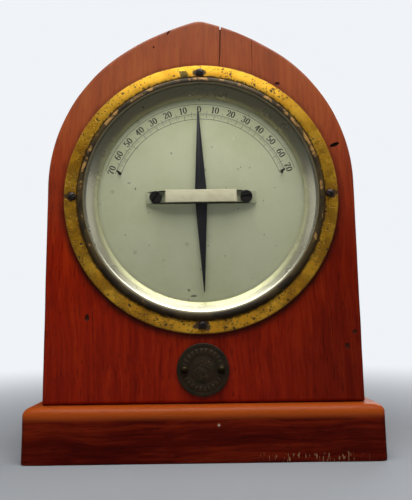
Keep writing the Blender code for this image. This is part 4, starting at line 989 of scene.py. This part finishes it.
# Strokes of the numerals in a box one unit high: "line" and "bow" (centre, radii, start and end angles)
NUMERALS = {
    "0": (0.58, [("bow", (0.29, 0.5), (0.22, 0.47), 90, 450)]),
    "1": (0.44, [("line", (0.23, 0.02), (0.23, 0.97)), ("line", (0.23, 0.95), (0.07, 0.82)),
                 ("line", (0.06, 0.015), (0.40, 0.015))]),
    "2": (0.58, [("bow", (0.29, 0.73), (0.20, 0.245), 170, -35), ("line", (0.455, 0.60), (0.07, 0.06)),
                 ("line", (0.07, 0.06), (0.50, 0.06)), ("line", (0.50, 0.06), (0.53, 0.24)),
                 ("line", (0.10, 0.72), (0.17, 0.78))]),
    "3": (0.58, [("bow", (0.28, 0.75), (0.185, 0.225), 160, -90), ("bow", (0.26, 0.28), (0.235, 0.265), 90, -160),
                 ("line", (0.07, 0.18), (0.13, 0.26)), ("line", (0.10, 0.80), (0.17, 0.78))]),
    "4": (0.60, [("line", (0.42, 0.97), (0.04, 0.28)), ("line", (0.03, 0.27), (0.57, 0.27)),
                 ("line", (0.42, 0.97), (0.42, 0.02)), ("line", (0.28, 0.015), (0.56, 0.015))]),
    "5": (0.58, [("line", (0.13, 0.93), (0.47, 0.96)), ("line", (0.12, 0.95), (0.12, 0.52)),
                 ("bow", (0.27, 0.31), (0.23, 0.295), 135, -155), ("line", (0.06, 0.2), (0.12, 0.27))]),
    "6": (0.58, [("bow", (0.29, 0.30), (0.215, 0.285), 90, 450), ("bow", (0.42, 0.42), (0.345, 0.55), 195, 85),
                 ("line", (0.43, 0.86), (0.49, 0.84))]),
    "7": (0.56, [("line", (0.06, 0.94), (0.52, 0.94)), ("line", (0.06, 0.96), (0.05, 0.78)),
                 ("line", (0.52, 0.94), (0.25, 0.40)), ("line", (0.25, 0.40), (0.23, 0.02))]),
}
THIN_STROKE, THICK_STROKE = 0.075, 0.190


def numeral_strokes(digit):
    """Each stroke as points and pen widths: an upright stroke is thick and a level one thin."""
    for stroke in NUMERALS[digit][1]:
        if stroke[0] == "line":
            a, b = Vector(stroke[1]), Vector(stroke[2])
            points = [a.lerp(b, i / 4) for i in range(5)]
        else:
            _, centre, radii, start, end = stroke
            points = [Vector((centre[0] + radii[0] * math.cos(t), centre[1] + radii[1] * math.sin(t)))
                      for t in [math.radians(start + (end - start) * i / 28) for i in range(29)]]
        widths = []
        for i in range(len(points)):
            way = (points[min(i + 1, len(points) - 1)] - points[max(i - 1, 0)]).normalized()
            widths.append(THIN_STROKE + (THICK_STROKE - THIN_STROKE) * abs(way.y) ** 2.2)
        yield points, widths


def make_dial():
    spot = Spot("dial")
    face = spot.front
    hole, outer, soft = 2.5 * MM, spot.half, 0.15 * MM
    profile = [(hole, spot.back), (outer, spot.back), (outer, face - soft), (outer - soft, face),
               (hole + soft, face), (hole, face - soft)]
    dial = make("dial_disc", turned(profile, 192), DIAL_SILVER, facing(0, spot.v))
    holes = []
    for name in ("stop_pin_left", "stop_pin_right"):
        at = Spot(name)
        holes.append(make("hole", rod(0.75 * MM, spot.back - 1 * MM, face + 1 * MM, 20), DIAL_SILVER,
                          facing(at.u, at.v)))
    show(cut(dial, *holes), "dial")

    bm = bmesh.new()
    low, high = face + 0.005 * MM, face + 0.035 * MM

    def at(radius, degrees):
        a = math.radians(degrees)
        return (radius * math.sin(a), radius * math.cos(a))

    def line(points, width):
        ribbon(bm, points, [width] * len(points), low, high)

    for radius, width, reach in ((42.0 * MM, 0.15 * MM, 71.6), (37.7 * MM, 0.14 * MM, 71.6), (35.4 * MM, 0.17 * MM, 71.6)):
        line([at(radius, -reach + 2 * reach * i / 240) for i in range(241)], width)
    for degrees in range(-70, 71):
        inner, width = 36.5 * MM, 0.09 * MM
        if degrees % 5 == 0:
            inner, width = 35.9 * MM, 0.13 * MM
        if degrees % 10 == 0:
            inner, width = 35.3 * MM, 0.16 * MM
        line([at(inner, degrees), at(37.6 * MM, degrees)], width)
        if degrees % 10 == 5 or degrees % 10 == -5:
            line([at(37.6 * MM, degrees), at(38.9 * MM, degrees)], 0.12 * MM)
    tall = 2.80 * MM
    for degrees in range(-70, 71, 10):
        digits = str(abs(degrees))
        wide = sum(NUMERALS[d][0] for d in digits) + 0.10 * (len(digits) - 1)
        pen = -wide / 2
        foot = 38.35 * MM
        for d in digits:
            for points, widths in numeral_strokes(d):
                placed = []
                for p in points:
                    a = math.radians(degrees)
                    across, up = (pen + p.x) * tall, foot + p.y * tall
                    placed.append((across * math.cos(a) + up * math.sin(a), up * math.cos(a) - across * math.sin(a)))
                ribbon(bm, placed, [w * tall for w in widths], low, high)
            pen += NUMERALS[d][0] + 0.10
    scale = make("dial_scale", bm, INK, facing(-0.2 * MM, spot.v - 0.8 * MM, -0.3))
    show(scale, body=BODY["dial"], slot="black_steel")
    scale.visible_glossy = False

    for name, lean in (("left", -1), ("right", 1)):
        node = "stop_pin_" + name
        at_pin = Spot(node)
        out = Vector((at_pin.u, at_pin.v - DIAL_AT)).normalized()
        route = []
        for i in range(11):
            t = i / 10
            away = 0.6 * MM * max(0.0, t - 0.45) ** 1.5 / 0.55 ** 1.5
            route.append((at_pin.u + out.x * away, at_pin.v - DIAL_AT + out.y * away, 34.2 * MM + 3.9 * MM * t))
        show(make("bent_stop_pin_" + name, tube_along(route, 0.4 * MM, 16), DARK_STEEL, facing(0, DIAL_AT)), node)


def make_bridge():
    """A strip bent like a hat, with soft bends, over the pivot."""
    spot = Spot("pointer_bridge")
    foot, bar = spot.back, spot.front
    thick, wide, rise = 1.0 * MM, spot.half, 14.7 * MM
    upper = [(wide, foot + thick), (rise, foot + thick), (rise, bar)]
    lower = [(wide, foot), (rise - thick, foot), (rise - thick, bar - thick)]
    right = lower[::-1] + upper
    left = [(-u, w) for u, w in reversed(right)]
    radii = [0.25, 0.5, 0.1, 0.1, 0.3, 0.45]
    outline = rounded(right + left, [r * MM for r in radii + radii[::-1]], 4)
    half = spot.tall
    bm = bmesh.new()
    front = [bm.verts.new((u, -half, w)) for u, w in outline]
    rear = [bm.verts.new((u, half, w)) for u, w in outline]
    bm.faces.new(front)
    bm.faces.new(rear)
    for i in range(len(front)):
        j = (i + 1) % len(front)
        bm.faces.new((front[i], front[j], rear[j], rear[i]))
    bridge = make("pointer_bridge_strip", bm, IVORY, facing(0, spot.v))
    soften = bridge.modifiers.new("soft", "BEVEL")
    soften.width, soften.segments, soften.limit_method = 0.22 * MM, 3, "ANGLE"
    soften.angle_limit = math.radians(50)
    settle(bridge)
    holes = []
    for name in ("left", "right"):
        at = Spot("bridge_screw_" + name)
        holes.append(make("hole", rod(1.5 * MM, 30 * MM, 39 * MM, 24), IVORY, facing(at.u, at.v)))
    show(cut(bridge, *holes), "pointer_bridge")


def make_needle():
    spot = Spot("pointer")
    length, half, tip = 39.5 * MM, 2.6 * MM, 0.16 * MM
    low, high, soft = spot.back, spot.front, 0.12 * MM

    def lozenge(inset):
        wide = half - inset
        point = max(tip - inset, 0.05 * MM)
        quarter_points = [(wide + (point - wide) * i / 12, (length - inset) * i / 12) for i in range(13)]
        upper = quarter_points + [(-u, v) for u, v in reversed(quarter_points)]
        return upper + [(u, -v) for u, v in reversed(upper) if v > 0]

    bm = stack([(lozenge(0), low), (lozenge(0), high - soft), (lozenge(soft * 0.4), high - soft * 0.4),
                (lozenge(soft), high)])
    pointer = make("pointer_blade", bm, BLACK, facing(0, DIAL_AT, -1.4))
    hole = make("hole", rod(0.9 * MM, 30 * MM, 45 * MM, 24), BLACK, facing(0, DIAL_AT))
    show(cut(pointer, hole), "pointer")


def make_disc():
    spot = Spot("name_disc")
    radius, back, front = spot.half, spot.back, spot.front
    soft, relief = 0.3 * MM, 0.04 * MM
    profile = [(0, back), (radius, back), (radius, front - soft)] + arc((radius - soft, front - soft), soft, 30, 90, 3)
    for ring in (8.7 * MM, 5.4 * MM):
        profile += [(ring + 0.35 * MM, front), (ring + 0.2 * MM, front - relief), (ring - 0.2 * MM, front - relief),
                    (ring - 0.35 * MM, front)]
    profile.append((0, front))
    disc = make("name_disc_plate", turned(profile, 128), DISC_BRONZE, facing(0, spot.v))
    holes = []
    for name in ("left", "right"):
        at = Spot("disc_pin_" + name)
        holes.append(make("hole", rod(0.9 * MM, back - 1 * MM, front + 1 * MM, 24), BRONZE, facing(at.u, at.v)))
    show(cut(disc, *holes), "name_disc")


# ---------------------------------------------------------------- the back's furniture

HINGE_AT = (65.9 * MM, 22.15 * MM)


def make_hinges():
    for name in ("lower", "upper"):
        pin = Spot("hinge_pin_" + name)
        z, half = pin.v, 12.0 * MM
        x, y = pin.u, pin.y
        third = half / 3
        inner = CASE_HALF + 0.3 * MM
        thick, barrel, bore, gap = 1.0 * MM, 1.9 * MM, 1.15 * MM, 0.15 * MM
        for part, sign, spans, near, far in (
                ("case", -1, ((-half, -third - gap), (third + gap, half)), 2.2 * MM, 9.5 * MM),
                ("door", 1, ((-third + gap, third - gap),), 2.2 * MM, 6.2 * MM)):
            node = "hinge_" + part + "_leaf_" + name
            low_y, high_y = sorted((near * sign, far * sign))
            middle = (low_y + high_y) / 2
            reach = (high_y - low_y) / 2
            leaf = softened(lambda inset: rounded_rectangle(half - inset, reach - inset, 0.8 * MM, 4),
                            0.0, thick, 0.2 * MM, 0.1 * MM, 3)
            leaf = make(node + "_plate", leaf, CLEAN_BRASS, sideways(inner, y + middle, z))
            knuckles = []
            for low, high in spans:
                near_y, far_y = sorted((-0.2 * MM * sign, (near + 0.4 * MM) * sign))
                knuckles.append(make("arm", box((inner, y + near_y, z + low), (inner + thick, y + far_y, z + high)),
                                     CLEAN_BRASS))
                soft = 0.15 * MM
                barrel_profile = [(0, low), (barrel - soft, low), (barrel, low + soft), (barrel, high - soft),
                                  (barrel - soft, high), (0, high)]
                knuckles.append(make("barrel", turned(barrel_profile, 40), CLEAN_BRASS, Matrix.Translation((x, y, z))))
            for knuckle in knuckles:
                union = leaf.modifiers.new("join", "BOOLEAN")
                union.operation, union.solver, union.object = "UNION", "EXACT", knuckle
            settle(leaf, *knuckles)
            cutters = [make("bore", rod(bore, -half * 1.2, half * 1.2, 32), CLEAN_BRASS, Matrix.Translation((x, y, z)))]
            show(cut(leaf, *cutters), node)
            spacing = 7.5 * MM
            across = y + (6.2 * MM if part == "case" else 4.4 * MM) * sign
            for k, up in enumerate((-spacing, spacing)):
                at = sideways(inner + thick, across, z + up, 25.0 + 70.0 * k + 40.0 * (sign + 1))
                radius = 1.25 * MM if part == "case" else 1.05 * MM
                rivet = screw("hinge_screw_%s_%s_%d" % (part, name, k), STEEL, at, (radius, 0.35 * MM),
                              (0.6 * MM, 5 * MM), domed=True, steps=28)
                show(rivet, body=BODY[node], slot="steel")
        low, high = pin.low.z, pin.high.z
        head = 1.5 * MM
        profile = [(0, low), (head * 0.7, low), (head, low + 0.35 * MM), (head, z - half - 0.3 * MM),
                   (0.9 * MM, z - half - 0.3 * MM), (0.9 * MM, z + half + 0.3 * MM), (head, z + half + 0.3 * MM),
                   (head, high - 0.6 * MM), (head * 0.75, high - 0.15 * MM), (head * 0.3, high), (0, high)]
        show(make("hinge_pin_turned_" + name, turned(profile, 36), CLEAN_BRASS, Matrix.Translation((x, y, 0))),
             "hinge_pin_" + name)


def make_back_furniture():
    spot = Spot("door_knob")
    root = 5.0 * MM
    knob = [(0, -5 * MM), (1.5 * MM, -5 * MM), (1.5 * MM, 0.3 * MM), (4.2 * MM, 0.3 * MM)]
    knob += arc((3.9 * MM, 0.8 * MM), 0.3 * MM, 0, 90, 3)
    knob += [(3.4 * MM, 1.3 * MM), (2.9 * MM, 1.6 * MM), (2.35 * MM, 2.3 * MM), (2.1 * MM, 3.2 * MM), (2.15 * MM, 3.9 * MM)]
    knob += arc((0, 7.8 * MM), 4.4 * MM, -58, 90, 20)[:-1]
    knob.append((0, 12.2 * MM))
    show(make("door_knob_turned", turned(knob, 72), CLEAN_BRASS, backward(spot.u, spot.low.y + root, spot.v)), "door_knob")

    spot = Spot("turn_button")
    thick = spot.front - spot.back
    button = softened(lambda inset: stadium(spot.half - inset, spot.tall - inset), 0.0, abs(thick), 0.5 * MM, 0.2 * MM, 4)
    button = make("turn_button_plate", button, CLEAN_BRASS, backward(spot.u, spot.low.y, spot.v))
    hole = make("hole", rod(1.25 * MM, -1 * MM, 5 * MM, 28), CLEAN_BRASS, backward(spot.u, spot.low.y, spot.v))
    show(cut(button, hole), "turn_button")
    top = spot.high.y + 0.3 * MM
    show(screw("turn_button_woodscrew", CLEAN_BRASS, backward(spot.u, top, spot.v, 24), (2.7 * MM, 1.4 * MM),
               (1.0 * MM, 7 * MM)), "turn_button_screw")


def make_terminals():
    for side in ("left", "right"):
        post = Spot("terminal_post_" + side)
        at = Matrix.Translation((post.u, post.y, 0))
        low, high = post.low.z, post.high.z
        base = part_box("plinth")[1].z + 0.3 * MM
        collar, top, stud, cut_in, pitch = 6.0 * MM, base + 3.0 * MM, 2.0 * MM, 0.17 * MM, 0.7 * MM
        soft = 0.35 * MM
        profile = [(0, low), (stud, low), (stud, base), (collar - 0.15 * MM, base), (collar, base + 0.15 * MM)]
        profile += arc((collar - soft, top - soft), soft, 0, 90, 5) + [(stud, top)]
        z = top + 0.4 * MM
        while z < high - 0.9 * MM:
            profile += [(stud, z), (stud, z + pitch * 0.15), (stud - cut_in, z + pitch * 0.5), (stud, z + pitch * 0.85)]
            z += pitch
        profile += [(stud, high - 0.6 * MM), (stud * 0.62, high), (0, high)]
        show(make("terminal_stud_" + side, turned(profile, 64), CLEAN_BRASS, at, 50.0), "terminal_post_" + side)

        spot = Spot("terminal_washer_" + side)
        edge = rounded([(2.3 * MM, spot.low.z), (spot.half, spot.low.z), (spot.half, spot.high.z), (2.3 * MM, spot.high.z)],
                       0.2 * MM, 3)
        show(make("terminal_washer_disc_" + side, turned(edge, 64), CLEAN_BRASS, at), "terminal_washer_" + side)

        spot = Spot("terminal_nut_" + side)
        foot, height, outer = spot.low.z, spot.high.z - spot.low.z, spot.half
        waist = foot + height * 0.28
        levels = [(2.3 * MM, foot, 0), (4.45 * MM, foot, 0), (4.6 * MM, foot + 0.15 * MM, 0), (4.6 * MM, waist, 0),
                  (outer - 0.5 * MM, waist + 0.3 * MM, 0), (outer - 0.12 * MM, waist + 0.7 * MM, 1), (outer, waist + 1.0 * MM, 1),
                  (outer, foot + height - 1.1 * MM, 1), (outer - 0.15 * MM, foot + height - 0.85 * MM, 1),
                  (outer - 0.9 * MM, foot + height, 0), (2.7 * MM, foot + height, 0), (2.3 * MM, foot + height - 0.4 * MM, 0)]
        teeth, steps = 54, 216
        bm = bmesh.new()
        rings = []
        for radius, z, knurl in levels:
            ring = []
            for i in range(steps):
                a = math.tau * i / steps
                depth = 0.26 * MM * knurl * abs(((i * teeth / steps) % 1.0) * 2 - 1)
                ring.append(bm.verts.new(((radius - depth) * math.cos(a), (radius - depth) * math.sin(a), z)))
            rings.append(ring)
        for a, b in zip(rings, rings[1:] + rings[:1]):
            for i in range(steps):
                j = (i + 1) % steps
                bm.faces.new((a[i], a[j], b[j], b[i]))
        show(make("terminal_knurled_nut_" + side, bm, CLEAN_BRASS, at, 30.0), "terminal_nut_" + side)


# ---------------------------------------------------------------- inside

def make_windings():
    """Silk-covered wire laid in turns: the winding's outer face is scalloped at each turn."""
    for side in ("left", "right"):
        node = "coil_winding_" + side
        spot = Spot(node)
        low, high = spot.low, spot.high
        pitch = 0.42 * MM
        turns = int((high.x - low.x) / pitch)
        pitch = (high.x - low.x) / turns
        core_w, core_v, rim = 4.3 * MM, 14.5 * MM, spot.half
        outer = (high.y - low.y) / 2 - 3.0 * MM
        profile = [(low.x, 1.3 * MM)]
        for k in range(turns):
            for part, swell in ((0.0, 0.0), (0.2, 0.11), (0.5, 0.17), (0.8, 0.11)):
                profile.append((low.x + (k + part) * pitch, outer - 0.17 * MM + swell * MM))
        profile += [(high.x, outer - 0.17 * MM), (high.x, 1.3 * MM)]
        bm = bmesh.new()
        rows = []
        for x, out in profile:
            outline = rounded_rectangle(3.0 * MM + out, 13.2 * MM + out, 1.2 * MM + out, 8)
            rows.append([bm.verts.new((x, spot.y + w, spot.v + v)) for w, v in outline])
        for a, b in zip(rows, rows[1:] + rows[:1]):
            for i in range(len(a)):
                j = (i + 1) % len(a)
                bm.faces.new((a[i], a[j], b[j], b[i]))
        show(make("coil_wire_" + side, bm, SILK, None, 80.0), node)


def smooth_route(points, per_span):
    """Points along a Catmull-Rom curve through the given points."""
    points = [Vector(p) for p in points]
    padded = [2 * points[0] - points[1], *points, 2 * points[-1] - points[-2]]
    route = []
    for a, b, c, d in zip(padded, padded[1:], padded[2:], padded[3:]):
        for i in range(per_span):
            t = i / per_span
            route.append(0.5 * (2 * b + (c - a) * t + (2 * a - 5 * b + 4 * c - d) * t ** 2
                                + (3 * b - a - 3 * c + d) * t ** 3))
    route.append(points[-1])
    return route


def make_leads():
    radius, depth, hole_y = 0.8 * MM, 3.6 * MM, -24 * MM
    for side, sign in (("left", -1), ("right", 1)):
        post = Spot("terminal_post_" + side)
        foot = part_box("coil_winding_" + side)[0].z - 2 * radius
        x = post.u
        route = [(9.5 * MM * sign, -14 * MM, foot), (10.5 * MM * sign, -19 * MM, foot - 4 * MM),
                 (15 * MM * sign, -23.6 * MM, foot - 9.5 * MM), (25 * MM * sign, hole_y, 58 * MM),
                 (x, hole_y, 40 * MM), (x, hole_y, 22 * MM), (x, hole_y, 8 * MM), (x, hole_y + 5 * MM, depth),
                 (x, 0, depth), (x, post.y - 14 * MM, depth), (x, post.y - 6.5 * MM, depth)]
        show(make("lead_wire_" + side, tube_along(smooth_route(route, 10), radius, 14), SILK_LEAD, None, 60.0),
             "lead_" + side)


def finish_inside():
    """CAD nodes whose shape is right keep it, and get a real finish."""
    finishes = {"dial_board": RAW_WOOD, "movement_plate": INNER_BRASS, "rear_cock": INNER_BRASS,
                "front_bearing": INNER_BRASS, "pointer_boss": INNER_BRASS, "staff": STEEL, "magnet": MAGNET_STEEL,
                "rear_bearing": STEEL, "pillar_lower": INNER_BRASS, "pillar_upper": INNER_BRASS,
                "cock_screw_lower": BLUE_STEEL, "cock_screw_upper": BLUE_STEEL,
                "coil_bobbin_left": VULCANITE, "coil_bobbin_right": VULCANITE,
                "terminal_under_nut_left": CLEAN_BRASS, "terminal_under_nut_right": CLEAN_BRASS,
                "foot_screw_left": STEEL, "foot_screw_right": STEEL}
    for node, finish in finishes.items():
        materials = frame["nodes"][node].data.materials
        materials.clear()
        materials.append(finish)


SILK_LEAD = silk("silk_lead", 0.0)
MAGNET_STEEL = steel("magnet_steel", (0.16, 0.16, 0.17), (0.35, 0.55), 1.0, 0.3, 5.0)
BLUE_STEEL = steel("blue_steel", (0.045, 0.055, 0.10), (0.22, 0.36), 1.0, 0.1, 6.0)


# ---------------------------------------------------------------- stage, light and camera

BACKDROP, BACKDROP_STRENGTH = (0.94, 0.965, 1.0), 0.93


def make_stage():
    bm = bmesh.new()
    bmesh.ops.create_grid(bm, x_segments=1, y_segments=1, size=3.0)
    s = Shade("floor", Roughness=0.9, Specular_IOR_Level=0.0)
    cloud = s.noise(s.place, 9.0, 3, 0.5)
    # painted shade: the floor is a darker grey near the object, and further out it glows in the backdrop's colour
    far = s.step(s.radius(), 0.07, 0.42)
    shaded_near_floor = s.mix(cloud, (0.33, 0.35, 0.38), (0.38, 0.40, 0.43))
    s.set("Base Color", s.mix(far, shaded_near_floor, (0.0, 0.0, 0.0)))
    s.set("Emission Color", BACKDROP)
    s.set("Emission Strength", s.math("MULTIPLY", far, BACKDROP_STRENGTH))
    floor = make("floor", bm, s.material, Matrix.Translation((0, 0, -0.02 * MM)))
    floor.visible_glossy = False


def area_light(name, at, towards, size, power, colour=(1, 1, 1)):
    light = bpy.data.lights.new(name, "AREA")
    light.shape = "RECTANGLE"
    light.size, light.size_y = size
    light.energy = power
    light.color = colour
    obj = bpy.data.objects.new(name, light)
    bpy.context.scene.collection.objects.link(obj)
    obj.location = at
    obj.rotation_euler = (Vector(towards) - Vector(at)).to_track_quat("-Z", "Y").to_euler()


def make_light():
    world = bpy.data.worlds.new("studio")
    bpy.context.scene.world = world
    world.use_nodes = True
    tree = world.node_tree
    background = tree.nodes["Background"]
    path = tree.nodes.new("ShaderNodeLightPath")
    strength = tree.nodes.new("ShaderNodeMix")
    strength.data_type = "FLOAT"
    tree.links.new(path.outputs["Is Camera Ray"], strength.inputs[0])
    strength.inputs[2].default_value = 0.035
    strength.inputs[3].default_value = BACKDROP_STRENGTH
    background.inputs["Color"].default_value = (*BACKDROP, 1.0)
    tree.links.new(strength.outputs[0], background.inputs["Strength"])
    area_light("key", (0.02, -0.31, 0.56), (0, -0.03, 0.11), (0.60, 0.40), 2.2, (1.0, 0.98, 0.94))
    area_light("overhead", (0.0, -0.12, 0.58), (0, -0.04, 0.1), (0.45, 0.32), 1.55, (0.98, 0.99, 1.0))
    area_light("left_fill", (-0.80, -0.22, 0.42), (0, -0.04, 0.13), (0.55, 0.55), 0.42, (1.0, 0.99, 0.92))
    area_light("right_fill", (0.80, -0.22, 0.42), (0, -0.04, 0.13), (0.55, 0.55), 0.42, (1.0, 0.99, 0.92))
    area_light("back_fill", (0.45, 0.80, 0.50), (0, 0, 0.1), (0.6, 0.6), 3.5)


def make_camera():
    data = bpy.data.cameras.new("camera")
    data.lens, data.sensor_width = 37.5, 36.0
    camera = bpy.data.objects.new("camera", data)
    bpy.context.scene.collection.objects.link(camera)
    camera.location = (0.0014, -0.2492, 0.0540)
    camera.rotation_euler = (math.radians(97.5), math.radians(0.75), 0)
    bpy.context.scene.camera = camera


make_plinth()
make_front()
make_arch()
make_back()
make_bezel()
make_front_screws()
make_dial()
make_bridge()
make_needle()
make_disc()
make_hinges()
make_back_furniture()
make_terminals()
make_windings()
make_leads()
finish_inside()
make_stage()
make_light()
make_camera()
bpy.context.scene.view_settings.view_transform = "Standard"
